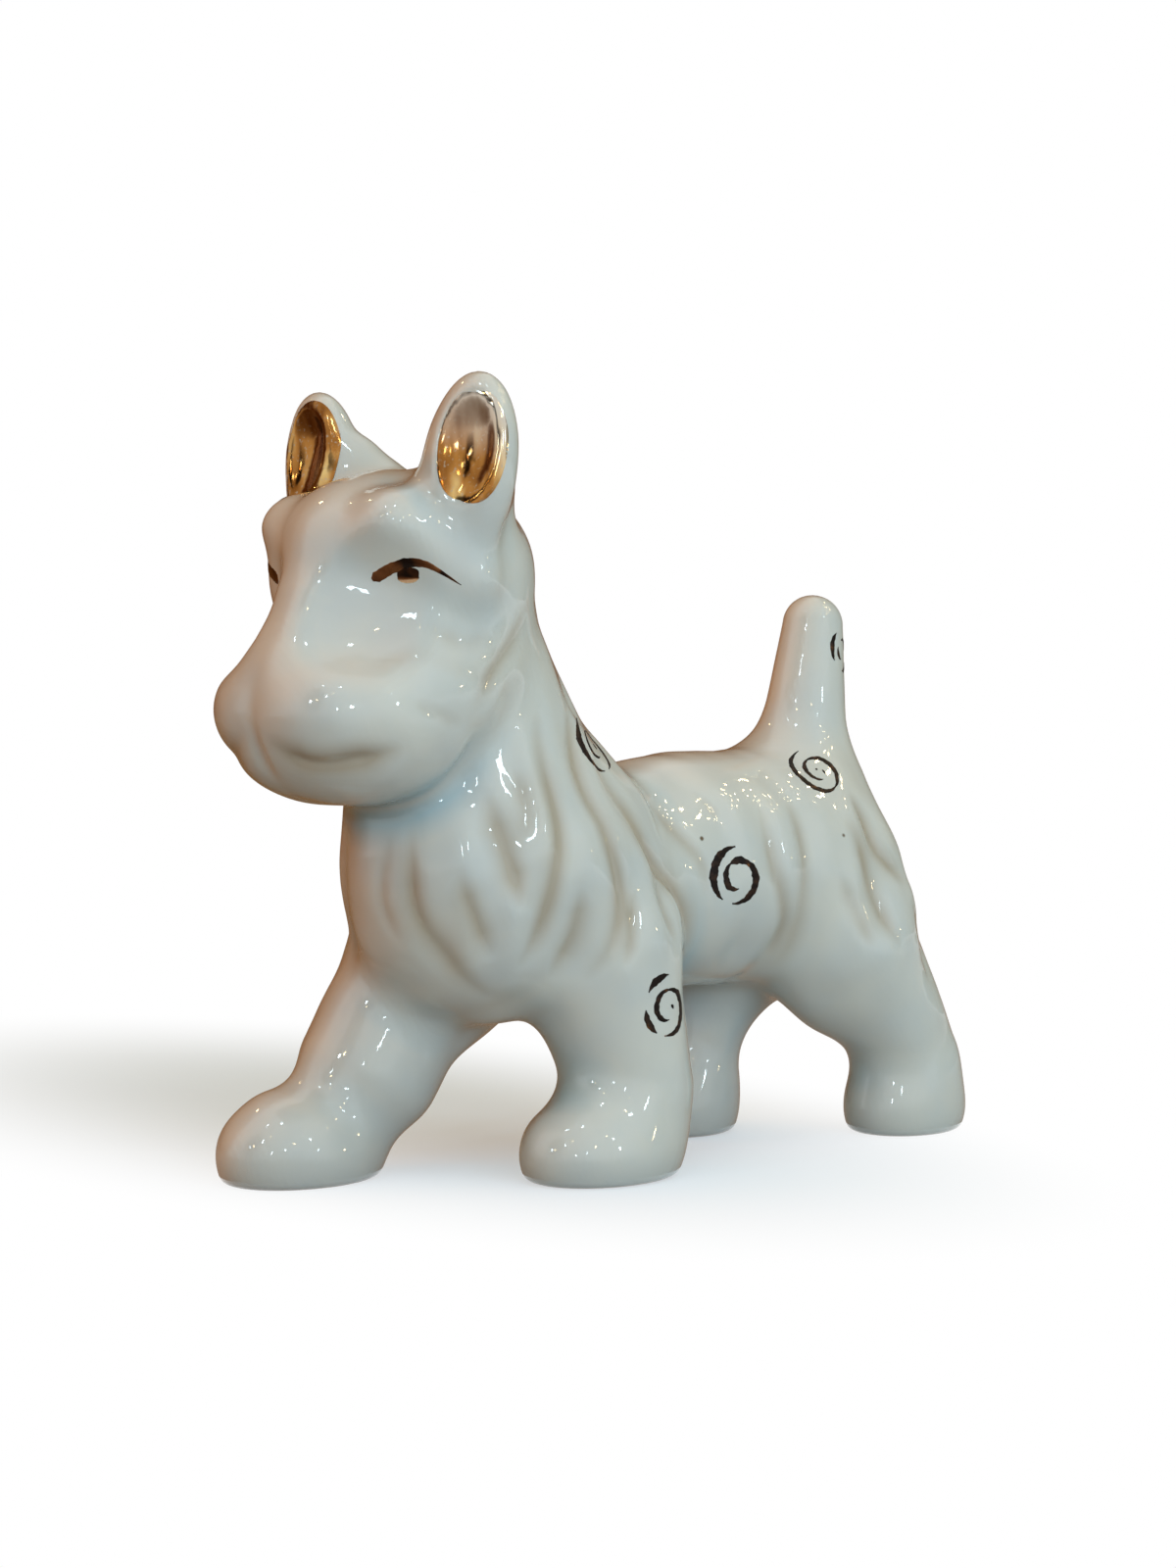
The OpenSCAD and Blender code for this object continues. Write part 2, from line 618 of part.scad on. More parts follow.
module leg_casting(name, side, end) {
    l = [for (l = legs) if (l[0] == name) l][0];
    color(porcelain) resize([0, 0, 0]) difference() {
        intersection() {
            leg_net(l);
            one_leg_room(side, end);
            translate([0, 0, far]) cube(2 * far, center = true);
        }
        if (end < 0) curl("leg", side);
    }
}
module gold_curl(name, side) color(lustre) curl(name, side);
module gold_eye(side) color(gold) resize([0, 0, 0]) eye(side);

torso();
head();
ear_casting(LEFT);  // ear_left
ear_casting(RIGHT);  // ear_right
tail();
leg_casting("front_left", LEFT, -1);  // leg_front_left
leg_casting("front_right", RIGHT, -1);  // leg_front_right
leg_casting("hind_left", LEFT, 1);  // leg_hind_left
leg_casting("hind_right", RIGHT, 1);  // leg_hind_right
ear_gold(LEFT);  // ear_gold_left
ear_gold(RIGHT);  // ear_gold_right
gold_eye(LEFT);  // eye_gold_left
gold_eye(RIGHT);  // eye_gold_right
gold_curl("neck", LEFT);  // curl_neck_left
gold_curl("neck", RIGHT);  // curl_neck_right
gold_curl("flank", LEFT);  // curl_flank_left
gold_curl("flank", RIGHT);  // curl_flank_right
gold_curl("leg", LEFT);  // curl_leg_left
gold_curl("leg", RIGHT);  // curl_leg_right
gold_curl("rump", LEFT);  // curl_rump_left
gold_curl("rump", RIGHT);  // curl_rump_right
gold_curl("tail", LEFT);  // curl_tail_left
gold_curl("tail", RIGHT);  // curl_tail_right
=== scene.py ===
import bpy
import numpy as np
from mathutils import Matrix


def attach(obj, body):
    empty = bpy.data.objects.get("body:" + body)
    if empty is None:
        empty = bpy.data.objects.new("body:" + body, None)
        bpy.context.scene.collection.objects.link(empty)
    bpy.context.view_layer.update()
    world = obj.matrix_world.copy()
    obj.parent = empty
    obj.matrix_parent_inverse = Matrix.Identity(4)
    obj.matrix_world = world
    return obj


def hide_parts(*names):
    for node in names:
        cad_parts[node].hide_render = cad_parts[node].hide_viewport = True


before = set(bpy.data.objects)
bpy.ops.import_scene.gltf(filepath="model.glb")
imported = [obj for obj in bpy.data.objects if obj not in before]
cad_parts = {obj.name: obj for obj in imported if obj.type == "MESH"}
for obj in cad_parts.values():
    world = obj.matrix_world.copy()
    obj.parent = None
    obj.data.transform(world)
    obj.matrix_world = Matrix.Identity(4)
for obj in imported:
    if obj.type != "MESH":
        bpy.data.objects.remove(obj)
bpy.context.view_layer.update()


# ---------------------------------------------------------------- camera
# The figure is seen from its left and front, from a third of a metre off and a little
# over its back, with a lens about twice as long as its picture is high.
LENS = 64.6                        # mm, on a picture 36 mm high
camera = bpy.data.objects.new("camera", bpy.data.cameras.new("camera"))
bpy.context.scene.collection.objects.link(camera)
camera.location = 0.2542, -0.2164, 0.058
camera.rotation_euler = np.radians([90 - 2.33, 0, 50])
camera.data.sensor_fit = "VERTICAL"
camera.data.sensor_height = 36
camera.data.lens = LENS
camera.data.clip_start = 0.01
bpy.context.scene.camera = camera


# ---------------------------------------------------------------- clay: trunk and neck
# The model for the mould was built up in clay from egg and sausage forms, smeared into
# each other. Each form is a distance in millimetres, negative inside the clay, and a
# point p is a row of (x, y, z) with +x the dog's left, -y its front and z = 0 the table.
def melt(a, b, k):
    """Two forms run together: the nearer one, less a fillet k/4 deep where they tie."""
    h = np.maximum(k - np.abs(a - b), 0) / k
    return np.minimum(a, b) - h * h * k / 4


def press(a, b, k):
    """Form b pressed out of form a, with the edge eased by k."""
    return -melt(-a, b, k)


def egg(p, middle, half, roll=0, swing=0):
    """n(n - 1)/m, with n the length of p over the half axes, and m over their squares.
    The egg is rolled about y, then swung about z, in degrees."""
    q = p - np.array(middle, float)
    if roll or swing:
        (cr, cs), (sr, ss) = np.cos(np.radians([roll, swing])), np.sin(np.radians([roll, swing]))
        q = q @ np.array([[cr * cs, -ss, sr * cs], [cr * ss, cs, sr * ss], [-sr, 0, cr]])
    half = np.array(half, float)
    n = np.linalg.norm(q / half, axis=1)
    return n * (n - 1) / (np.linalg.norm(q / half ** 2, axis=1) + 1e-9)


def sausage(p, a, b, ra, rb):
    """Distance to the line from a to b, less a radius that runs from ra to rb along it."""
    a, b = np.array(a, float), np.array(b, float)
    t = np.clip((p - a) @ (b - a) / ((b - a) @ (b - a)), 0, 1)
    return np.linalg.norm(p - a - t[:, None] * (b - a), axis=1) - ra - (rb - ra) * t


def trunk_form(p):
    """Barrel, chest and rump, with a haunch and a shoulder on each side, and the neck."""
    d = egg(p, (0, 13.35, 33.8), (13.5, 27, 14.3))
    d = melt(d, egg(p, (0, -19.15, 34), (15.5, 15.8, 16.5)), 8)
    d = melt(d, egg(p, (0, 29.35, 34), (12.5, 11.5, 13.3)), 8)
    d = melt(d, egg(p, (6.5, 31.35, 26), (7.5, 9.8, 13)), 5)
    d = melt(d, egg(p, (-6, 26.35, 28), (7.5, 9.5, 13)), 5)
    d = melt(d, egg(p, (8, -8.65, 29), (7.5, 9, 15)), 5)
    d = melt(d, egg(p, (-8, -16.65, 29), (7.5, 9, 15)), 5)
    return melt(d, sausage(p, (0, -17.65, 40), (0, -25.65, 60), 14, 12), 8)


# ---------------------------------------------------------------- clay: head and ears
# Skull, cheeks, two muzzle lobes and a chin, with the bridge of the nose and the brows
# laid on, and the eye sockets and the groove under the nose pressed in. The ears are
# leaves on a foot, each with a scoop pressed into its front.
def fold(p):
    """Both sides of the face laid onto the left one, x becoming the root of x² + 1."""
    return np.column_stack([np.sqrt(p[:, 0] ** 2 + 1), p[:, 1:]])


def head_form(p):
    """The head without its ears, form by form as the comment above lists them."""
    s = fold(p)
    d = egg(p, (0, -28.45, 68.5), (14.8, 12.6, 11.5))
    d = melt(d, egg(p, (0, -30.15, 58), (14.8, 12.3, 11)), 6)
    d = melt(d, egg(p, (0, -37.65, 49.8), (12, 10.5, 6.5)), 3)
    d = melt(d, egg(s, (5, -38.8, 53.8), (9.8, 11.3, 7.7)), 6)
    d = press(d, sausage(p, (0, -52.4, 53), (0, -48.8, 45.5), 1.2, 1.2), 0.9)
    d = melt(d, sausage(p, (0, -35.7, 71.5), (0, -39.2, 61), 7.1, 6.8), 5)
    d = melt(d, sausage(p, (0, -39.2, 61), (0, -43, 57), 6.8, 5.8), 4)
    d = melt(d, sausage(s, (1, -39.4, 72.2), (9.5, -37.6, 73.2), 3.3, 3.3), 4)
    d = melt(d, sausage(s, (9.5, -37.6, 73.2), (14.2, -31.15, 68), 3, 2), 4)
    d = press(d, egg(s, (13.6, -45.3, 65.5), (9.5, 7.4, 7.6), swing=35), 3)
    # On the right the socket is shallower, and the foot of the ear runs up farther
    d = melt(d, egg(p, (-8.2, -37, 67.6), (4.4, 4, 5)), 4)
    return melt(d, egg(p, (-11, -29.6, 79), (3.6, 3, 5.4), 35), 4)


def scoop_form(p):
    """The hollow of an ear: an egg that the ear's front is pressed against. Both hollows
    lie 1.9 mm farther to the dog's left than their ears."""
    return egg(fold(p - (1.9, 0, 0)), (15.7, -35.6, 82.4), (4.4, 3.9, 6.9), 6, 12)


def ear_form(p):
    """Leaf and foot of an ear, less the scoop."""
    s = fold(p)
    d = egg(s, (13.6, -31.15, 79.5), (6, 4.1, 10.5), 12, 8)
    d = melt(d, egg(s, (8.6, -28.2, 76.6), (7, 4.8, 5.6), -30), 3)
    return press(d, scoop_form(p), 1.2)


# ---------------------------------------------------------------- clay: legs, tail and all
# Four legs in mid-stride, each a sausage on an egg-shaped paw with a flat sole, and a
# short tail that stands up. The skin of the whole dog is one field, so that the castings
# meet flush at their seats.
LEGS = {                           # hip, ankle, paw, radii at hip and ankle, half paw
    "front_left": ((8.5, -7.65, 26), (9.8, -5.25, 10), (10.3, -9.65, 3), 8.3, 7.5, (8, 10.4, 7.2)),
    "front_right": ((-8.5, -21.2, 24), (-10, -27.75, 12), (-10.8, -36.65, 3), 8.5, 8.3,
                    (8, 10.3, 7.8)),
    "hind_left": ((8.5, 32.9, 24), (9, 41.9, 9.5), (9, 41.5, 3), 7.8, 6.3, (7, 8.3, 7)),
    "hind_right": ((-8, 24.85, 26), (-8.4, 20.35, 9), (-8.4, 18.85, 3), 7.8, 6, (7, 8, 7)),
}
VENT_R = 1.5                       # mm, of the vent hole


def leg_form(p):
    """The nearest of the four legs."""
    return np.minimum.reduce([
        melt(sausage(p, hip, ankle, r_hip, r_ankle), egg(p, paw, half), 4)
        for hip, ankle, paw, r_hip, r_ankle, half in LEGS.values()])


def tail_form(p):
    """The tail, from inside the rump to its round tip."""
    return sausage(p, (0, 31.85, 46), (0, 33.95, 63.6), 6, 3.8)


def clay(p):
    """Every form melted into one, with the vent pressed up into the belly, and all that
    would lie under the table taken off flat."""
    d = melt(trunk_form(p), melt(head_form(p), ear_form(p), 3), 2)
    d = melt(melt(d, tail_form(p), 6), leg_form(p), 4)
    d = press(d, sausage(p, (0, 3.35, 8), (0, 3.35, 21.5), VENT_R, VENT_R), 0.8)
    return press(d, p[:, 2], 1)


def slope(p):
    """Steepest rise of the clay's distance: its change over 0.02 mm along each axis."""
    return np.column_stack([
        clay(p + step) - clay(p - step) for step in np.eye(3) * 0.01]) / 0.02


def settle(p, rounds=3):
    """Moves points onto the skin: each round steps back along the slope by the distance."""
    for _ in range(rounds):
        g = slope(p)
        p = p - g * (clay(p) / (g * g).sum(1))[:, None]
    return p


# ---------------------------------------------------------------- clay: the coat
# The coat was drawn into the clay with a wooden tool and softened with a wet brush, so
# it shows as long shallow furrows with round locks of hair between them. The glaze
# fills the furrows a little, and is painted darker and warm grey in them as shade.
SPREAD = 1.3                       # how much wider the wet brush left each furrow
FADE = 0.3                         # share of its length over which a furrow starts or ends
FORWARD_MM = 1.5                   # the right side was drawn this much farther forward
FURROWS = [                        # depth and half width in mm, then points on the left side
    (0.8, 0.65, (12, -20.5, 55.5), (13, -21.3, 49), (15.5, -20.5, 41), (16, -21, 36),
     (14.5, -22.5, 28), (12, -25, 22.5)),
    (0.75, 0.6, (9.5, -14, 58), (13.5, -16, 47), (15.5, -14, 40), (16.3, -12, 33),
     (16, -13, 27.4), (14, -16, 22.5)),
    (0.75, 0.6, (11.5, -14, 50), (14, -9.6, 42), (14.7, -5.8, 36.6), (12.7, 0.7, 30.5),
     (10, 4, 24.5)),
    (0.5, 0.5, (15.5, -6, 36), (16.6, -5, 31), (16.5, -2.5, 26)),
    (0.45, 0.5, (16.2, -10, 33.5), (17, -10.6, 29), (16.8, -11.5, 24)),
    (0.8, 0.9, (12, -27.5, 45), (12.5, -27.5, 43), (15, -25.5, 34), (15, -25, 31)),
    (0.6, 0.9, (11, -31, 36.5), (12, -29, 30), (11.5, -26.5, 26)),
    (0.7, 1.0, (6.5, -33.5, 42), (6.5, -33.5, 32), (8, -29, 25.5), (9, -23.5, 20.5)),
    (0.5, 0.7, (16, -17.5, 35), (15.5, -17.5, 29), (12.5, -19.5, 23)),
    (0.45, 0.6, (13.5, -25, 48), (14.2, -24, 42), (14, -26, 38)),
    (0.35, 0.5, (5, -15.5, 59), (9, -13.5, 54), (11, -13, 52)),
    (0.4, 0.6, (9, -2.5, 44), (11.5, 1, 39), (13, 4, 35), (12.8, 4.5, 30)),
    (0.3, 0.6, (7, 4, 46), (10.5, 7, 42), (12, 7.5, 39)),
    (0.5, 0.6, (8, 12.5, 45), (10, 14, 43), (13.5, 14.5, 35), (12, 17.4, 27),
     (8, 17, 20.5), (3, 14, 19)),
    (0.45, 0.6, (8, 18, 45), (10, 19, 43), (13.5, 19.5, 36), (11, 20, 25.5), (7, 19, 21)),
    (0.6, 0.7, (10, 30, 44.5), (12.5, 30.5, 40), (14, 33, 35), (12.5, 38, 31)),
    (0.6, 0.7, (12, 26, 40.5), (13.5, 28, 38), (16, 30.7, 28.5), (16.5, 34, 23)),
    (0.35, 0.6, (14, 24.5, 34), (15.3, 27, 28), (15, 30, 23)),
    (0.4, 0.6, (14, 37, 30), (14.5, 39, 24), (14, 40, 19)),
    (0.3, 0.6, (9, -43, 58.5), (12, -38.5, 59), (14, -34, 58), (14.5, -29, 57)),
    (0.2, 0.5, (9.5, -45, 56.5), (12, -42, 55.7), (14, -37.5, 56)),
    (0.25, 0.6, (12, -36.5, 62.5), (15, -33, 61), (15, -28, 61.5)),
    (0.55, 0.6, (13.5, -21.5, 65.5), (14.5, -25, 61), (15, -29, 57.5), (13, -32, 52)),
    (0.9, 1.1, (1.5, -49.6, 51.2), (6.1, -48.2, 48.2), (9, -46.6, 47.6),
     (11.6, -44.4, 48.2), (14.3, -39.5, 50)),
    (0.25, 0.6, (14.5, -41, 55), (15, -37, 53.5), (13.5, -31.5, 51.5)),
    (0.3, 0.7, (4, -34.5, 40), (2.5, -35, 33), (4, -33, 27)),
]


def drawn_line(points, steps=8):
    """A smooth line through the points: between each two runs a cubic whose slope at a
    point is half the step from the point before it to the point after it."""
    p = np.array(points, float)
    p = np.vstack([2 * p[0] - p[1], p, 2 * p[-1] - p[-2]])
    a, b, c, d = p[:-3, None], p[1:-2, None], p[2:-1, None], p[3:, None]
    t = np.linspace(0, 1, steps, endpoint=False)[:, None]
    line = b + ((c - a) * t + (2 * a - 5 * b + 4 * c - d) * t ** 2
                + (3 * b - a - 3 * c + d) * t ** 3) / 2
    return np.vstack([line.reshape(-1, 3), p[-2]])


def furrow(p, line, width):
    """exp(-(distance to the line, rounded off by half a millimetre) / width), a crease
    between two locks, fading in and out over a share FADE of the line's length."""
    a, ab = line[:-1], np.diff(line, axis=0)
    t = np.clip(np.einsum("nmi,mi->nm", p[:, None] - a, ab) / (ab * ab).sum(1), 0, 1)
    far = ((p[:, None] - a - t[..., None] * ab) ** 2).sum(2)
    near = far.argmin(1)
    row = np.arange(len(p))
    steps = np.linalg.norm(ab, axis=1)
    share = (np.cumsum(steps)[near] - (1 - t[row, near]) * steps[near]) / steps.sum()
    crease = np.exp((0.5 - np.sqrt(far[row, near] + 0.25)) / width)
    return crease * np.clip(np.minimum(share, 1 - share) / FADE, 0, 1)


def ripple(p, lengths, seed, count=40):
    """A sum of plane waves with random headings, about as long as lengths along x, y, z."""
    rng = np.random.default_rng(seed)
    heading = rng.normal(size=(count, 3))
    heading *= rng.uniform(0.7, 1.3, (count, 1)) / np.linalg.norm(heading, axis=1)[:, None]
    turn = rng.uniform(0, 2 * np.pi, count)
    wave = np.sin(p @ (2 * np.pi * heading / np.array(lengths)).T + turn)
    return wave.sum(1) / np.sqrt(count / 2)


def coat(p):
    """Ripples, less the sum of each furrow's depth times its crease, faded out near the
    table: how far the skin stands out from the clay in mm. Then that sum by itself."""
    sunk = np.zeros(len(p))
    for side in (1, -1):
        for depth, width, *points in FURROWS:
            width = SPREAD * width
            line = drawn_line(points) * (side, 1, 1) - (0, FORWARD_MM * (side < 0), 0)
            low, high = line.min(0) - 5 * width, line.max(0) + 5 * width
            near = ((p > low) & (p < high)).all(1)
            sunk[near] += depth * furrow(p[near], line, width)
    # The hair grows on the trunk, between the paws below and the face above
    y, z = p[:, 1], p[:, 2]
    hair = np.clip((z - 17) / 8, 0, 1) * np.clip((60 - z) / 10, 0, 1) * np.clip((y + 36) / 6, 0, 1)
    # Over the spine the brush has smoothed the hair and the furrows away
    spine = np.clip((46.5 - z) / 5, 0, 1)
    hair *= np.where(y > -4, spine, 1)
    out = (0.03 + 0.15 * hair) * ripple(p, (7, 5, 22), 3) + 0.03 * ripple(p, (7, 7, 7), 4)
    sunk *= np.where(y > -4, spine, 1)
    return (out - sunk) * np.clip((z - 0.5) / 4, 0, 1), sunk


# ---------------------------------------------------------------- the skin
# One net is laid over the zero of the clay field. Each cell of the grid that the skin
# crosses has one knot, and each grid edge that it crosses has one face between the knots
# of its four cells. The knots settle on the clay and then rise or sink with the coat.
NET_MM = 0.45
BLOCK = 8                          # cells along a block of the grid
HOLLOW_MM, CREVICE_MM = 5, 1.5     # how far off the skin more clay makes a hollow or a crevice, which is painted in shade
DEEP_MM = 0.7                      # a furrow with its full painted shade


def grid_of(low, high):
    """Distances on a grid from low to high. Blocks far from the skin keep their middle's."""
    count = np.ceil((np.array(high, float) - low) / (NET_MM * BLOCK)).astype(int)
    blocks = np.stack(np.meshgrid(*(np.arange(n) for n in count), indexing="ij"), -1) * BLOCK
    middle = clay(low + (blocks.reshape(-1, 3) + (BLOCK - 1) / 2) * NET_MM)
    cells = np.stack(np.meshgrid(*[np.arange(BLOCK)] * 3, indexing="ij"), -1).reshape(-1, 3)
    d = np.repeat(middle[:, None], BLOCK ** 3, 1)
    near = np.abs(middle) < 1.7 * NET_MM * BLOCK
    fine = blocks.reshape(-1, 1, 3)[near] + cells
    d[near] = clay(low + fine.reshape(-1, 3) * NET_MM).reshape(-1, BLOCK ** 3)
    d = d.reshape(*count, BLOCK, BLOCK, BLOCK).transpose(0, 3, 1, 4, 2, 5)
    return d.reshape(count * BLOCK)


def net_over(d, low):
    """Knots at the mean of the places where the edges of a cell pierce the skin, and two
    triangles for each pierced edge, split along the shorter diagonal."""
    corner = [slice(None, -1), slice(1, None)]
    inside = d < 0
    full = sum(inside[corner[i], corner[j], corner[k]].astype(int)
               for i in (0, 1) for j in (0, 1) for k in (0, 1))
    cell = np.argwhere((full > 0) & (full < 8))
    number = np.full(full.shape, -1)
    number[tuple(cell.T)] = np.arange(len(cell))
    total, hits = np.zeros((len(cell), 3)), np.zeros(len(cell))
    for axis in np.eye(3, dtype=int):
        for i in (0, 1):
            for j in (0, 1):
                start = cell + i * np.roll(axis, 1) + j * np.roll(axis, 2)
                a, b = d[tuple(start.T)], d[tuple((start + axis).T)]
                cut = (a < 0) != (b < 0)
                t = np.where(cut, a / np.where(cut, a - b, 1), 0)
                total += cut[:, None] * (start - cell + t[:, None] * axis)
                hits += cut
    knots = low + (cell + total / hits[:, None]) * NET_MM
    faces = []
    for n, axis in enumerate(np.eye(3, dtype=int)):
        u, w = np.roll(axis, 1), np.roll(axis, 2)
        start = np.argwhere(np.diff(inside.astype(np.int8), axis=n) != 0)
        ring = [number[tuple((start - s).T)] for s in (u + w, w, 0 * u, u)]
        turn = inside[tuple(start.T)]
        ring = np.where(turn[:, None], np.stack(ring, 1), np.stack(ring[::-1], 1))
        short = (np.linalg.norm(knots[ring[:, 0]] - knots[ring[:, 2]], axis=1)
                 < np.linalg.norm(knots[ring[:, 1]] - knots[ring[:, 3]], axis=1))
        ring = np.where(short[:, None], ring, np.roll(ring, 1, 1))
        faces += [ring[:, [0, 1, 2]], ring[:, [0, 2, 3]]]
    return knots, np.vstack(faces)


def vertex_normals(p, faces):
    """The sum of the cross products of the triangles round each point, made a unit long."""
    cross = np.cross(p[faces[:, 1]] - p[faces[:, 0]], p[faces[:, 2]] - p[faces[:, 0]])
    n = np.stack([np.bincount(faces.ravel(), np.repeat(along, 3), len(p)) for along in cross.T], 1)
    return n / np.linalg.norm(n, axis=1)[:, None]


low = np.array([-24, -56, -3.7])
p, faces = net_over(grid_of(low, (24, 56, 95)), low)
p = settle(p, 2)
out = slope(p)
out /= np.linalg.norm(out, axis=1)[:, None]
raised, sunk = coat(p)
shelter = np.clip(1 - clay(p + HOLLOW_MM * out) / HOLLOW_MM, 0, 1)
tight = np.clip(1 - clay(p + CREVICE_MM * out) / CREVICE_MM, 0, 1)
p = p + out * raised[:, None]
p[:, 2] = np.maximum(p[:, 2], 0)
# A row of skin is a point, its normal, its shelter in hollows and its depth in creases, the two
# that the glaze paints in shade
crease = np.clip(sunk / DEEP_MM + tight, 0, 1)
skin = np.column_stack([p, vertex_normals(p, faces), shelter, crease])


# ---------------------------------------------------------------- seats
# The figure is slip cast in nine pieces that are stuck together with slip on flat seats
# before the glaze. The skin is parted along the planes of those seats, and each casting
# is closed with a flat face there.
def part(skin, faces, d):
    """Cuts triangles along d = 0. A cut edge gets one point, at the share of the edge
    where d, taken as straight along it, is zero. Points within 0.02 mm lie on the cut."""
    d = np.where(np.abs(d) < 0.02, 0, d)
    sign = np.sign(d)[faces]
    through_two = (sign != 0).all(1) & (np.abs(sign.sum(1)) == 1)
    through_one = ((sign == 0).sum(1) == 1) & (sign.sum(1) == 0)
    whole = faces[~through_two & ~through_one]
    # Cut through two edges: the corner alone on its side comes first
    two = faces[through_two]
    s = sign[through_two]
    first = (s * s.sum(1)[:, None] < 0).argmax(1)
    two = np.take_along_axis(two, (first[:, None] + np.arange(3)) % 3, 1)
    # Cut through one edge and the corner opposite, which comes first
    one = faces[through_one]
    first = (sign[through_one] == 0).argmax(1)
    one = np.take_along_axis(one, (first[:, None] + np.arange(3)) % 3, 1)
    edges = np.vstack([two[:, [0, 1]], two[:, [0, 2]], one[:, [1, 2]]])
    edges, back = np.unique(np.sort(edges, 1), axis=0, return_inverse=True)
    t = (d[edges[:, 0]] / (d[edges[:, 0]] - d[edges[:, 1]]))[:, None]
    new = skin[edges[:, 0]] * (1 - t) + skin[edges[:, 1]] * t
    new[:, 3:6] /= np.linalg.norm(new[:, 3:6], axis=1)[:, None]
    at = len(skin) + back.ravel()
    ab, ac, m = at[:len(two)], at[len(two):2 * len(two)], at[2 * len(two):]
    a, b, c = two.T
    z, u, v = one.T
    cut = [(a, ab, ac), (ab, b, c), (ab, c, ac), (z, u, m), (z, m, v)]
    faces = np.vstack([whole] + [np.column_stack(f) for f in cut])
    return np.vstack([skin, new]), faces


def neck_seat(p):
    """A plane that rises from throat to nape, positive in the head."""
    return p[:, 2] - 43.37 - 0.6 * (p[:, 1] + 34.75)


def leg_seat(p):
    """Two planes that fall towards the middle like a keel, positive in the legs."""
    return 16.01 + 0.48 * np.abs(p[:, 0]) - p[:, 2]


def tail_seat(p):
    """A level plane over the back half of the trunk, positive in the tail."""
    return np.minimum(p[:, 2] - 50.97, p[:, 1] - 19.8)


def ear_seat(p):
    """Two planes that fall outwards, positive in the ears."""
    return p[:, 2] - 88.48 + 0.9 * np.abs(p[:, 0])


for seat in (neck_seat, leg_seat, tail_seat, ear_seat):
    skin, faces = part(skin, faces, seat(skin))


def side_of(seat):
    """For each triangle, whether its middle is on the positive side of a seat."""
    return seat(skin[faces].mean(1)) > 0


in_ears, in_tail, in_legs = side_of(ear_seat), side_of(tail_seat), side_of(leg_seat)
in_head = side_of(neck_seat) & ~in_tail & ~in_ears
in_left = skin[faces, 0].mean(1) > 0
in_front = skin[faces, 1].mean(1) < 7.91


def used(skin, faces):
    """The rows that faces use, and the faces numbered anew."""
    rows, faces = np.unique(faces, return_inverse=True)
    return skin[rows], faces.reshape(-1, 3)


def rim_of(faces):
    """The edges that only one face has, in that face's direction."""
    edges = np.vstack([faces[:, [0, 1]], faces[:, [1, 2]], faces[:, [2, 0]]])
    _, back, count = np.unique(np.sort(edges, 1), axis=0, return_inverse=True, return_counts=True)
    return edges[count[back.ravel()] == 1]


def casting(name, chosen):
    """A closed piece of the skin. Each open rim gets a flat fan of faces round its middle,
    whose normal is its own, while the skin keeps the normals that it had in one piece."""
    rows, inside = used(skin, faces[chosen])
    rim = rim_of(inside)
    loop = np.arange(len(rows))
    while True:                    # each rim takes the lowest number among its points
        least = np.minimum(loop[rim[:, 0]], loop[rim[:, 1]])
        before = loop.copy()
        np.minimum.at(loop, rim[:, 0], least)
        np.minimum.at(loop, rim[:, 1], least)
        if (loop == before).all():
            break
    caps = []
    for first in np.unique(loop[rim]):
        ring = rim[loop[rim[:, 0]] == first]
        rows = np.vstack([rows, rows[ring[:, 0]].mean(0)])
        caps.append(np.column_stack([ring[:, ::-1], np.full(len(ring), len(rows) - 1)]))
    return solid(name, rows, inside, np.vstack(caps))


def attribute(mesh, label, values):
    """One number for each point of a mesh, that a material can read."""
    made = mesh.attributes.new(label, "FLOAT", "POINT")
    made.data.foreach_set("value", np.array(values, np.float32))


def solid(name, rows, inside, caps):
    """A mesh in metres from rows of skin, smooth on the skin and flat on the caps."""
    all_faces = np.vstack([inside, caps])
    mesh = bpy.data.meshes.new(name)
    mesh.from_pydata((rows[:, :3] / 1000).tolist(), [], all_faces.tolist())
    a, b, c = rows[caps.T, :3]
    cross = np.cross(b - a, c - a)
    flat = cross / np.maximum(np.linalg.norm(cross, axis=1), 1e-9)[:, None]
    mesh.shade_smooth()
    normals = np.vstack([rows[inside.ravel(), 3:6], np.repeat(flat, 3, 0)])
    mesh.normals_split_custom_set(normals.tolist())
    attribute(mesh, "shelter", rows[:, 6])
    attribute(mesh, "crease", rows[:, 7])
    piece = bpy.data.objects.new(name, mesh)
    bpy.context.scene.collection.objects.link(piece)
    return piece


# ---------------------------------------------------------------- glaze
# Hard porcelain under a clear feldspar glaze, fired glossy. It is a cool milk white with
# fine iron specks, painted darker and blue-grey in hollows as shade, a little blue from the
# glaze lying thick there. The soles were wiped before firing and are bare, matt and warmer.
def linear(hex_colour):
    """An sRGB hex colour as linear red, green, blue and alpha."""
    c = np.array([int(hex_colour[i:i + 2], 16) / 255 for i in (1, 3, 5)])
    return *np.where(c <= 0.04045, c / 12.92, ((c + 0.055) / 1.055) ** 2.4), 1.0


def node(tree, kind, inputs={}, stops=(), **settings):
    """A node with its settings. An input takes a value, or a socket to link from, and a
    colour ramp takes stops of (place, colour)."""
    made = tree.nodes.new("ShaderNode" + kind)
    for key, value in settings.items():
        setattr(made, key, value)
    for key, value in inputs.items():
        if isinstance(value, bpy.types.NodeSocket):
            tree.links.new(value, made.inputs[key])
        else:
            made.inputs[key].default_value = value
    if stops:
        elements = made.color_ramp.elements
        for _ in stops[2:]:
            elements.new(1)
        for element, (place, colour) in zip(elements, stops):
            element.position, element.color = place, colour
    return made


def material(name):
    """An empty material, its tree and its output's surface socket."""
    made = bpy.data.materials.new(name)
    made.use_nodes = True
    made.node_tree.nodes.clear()
    return made, made.node_tree, node(made.node_tree, "OutputMaterial").inputs["Surface"]


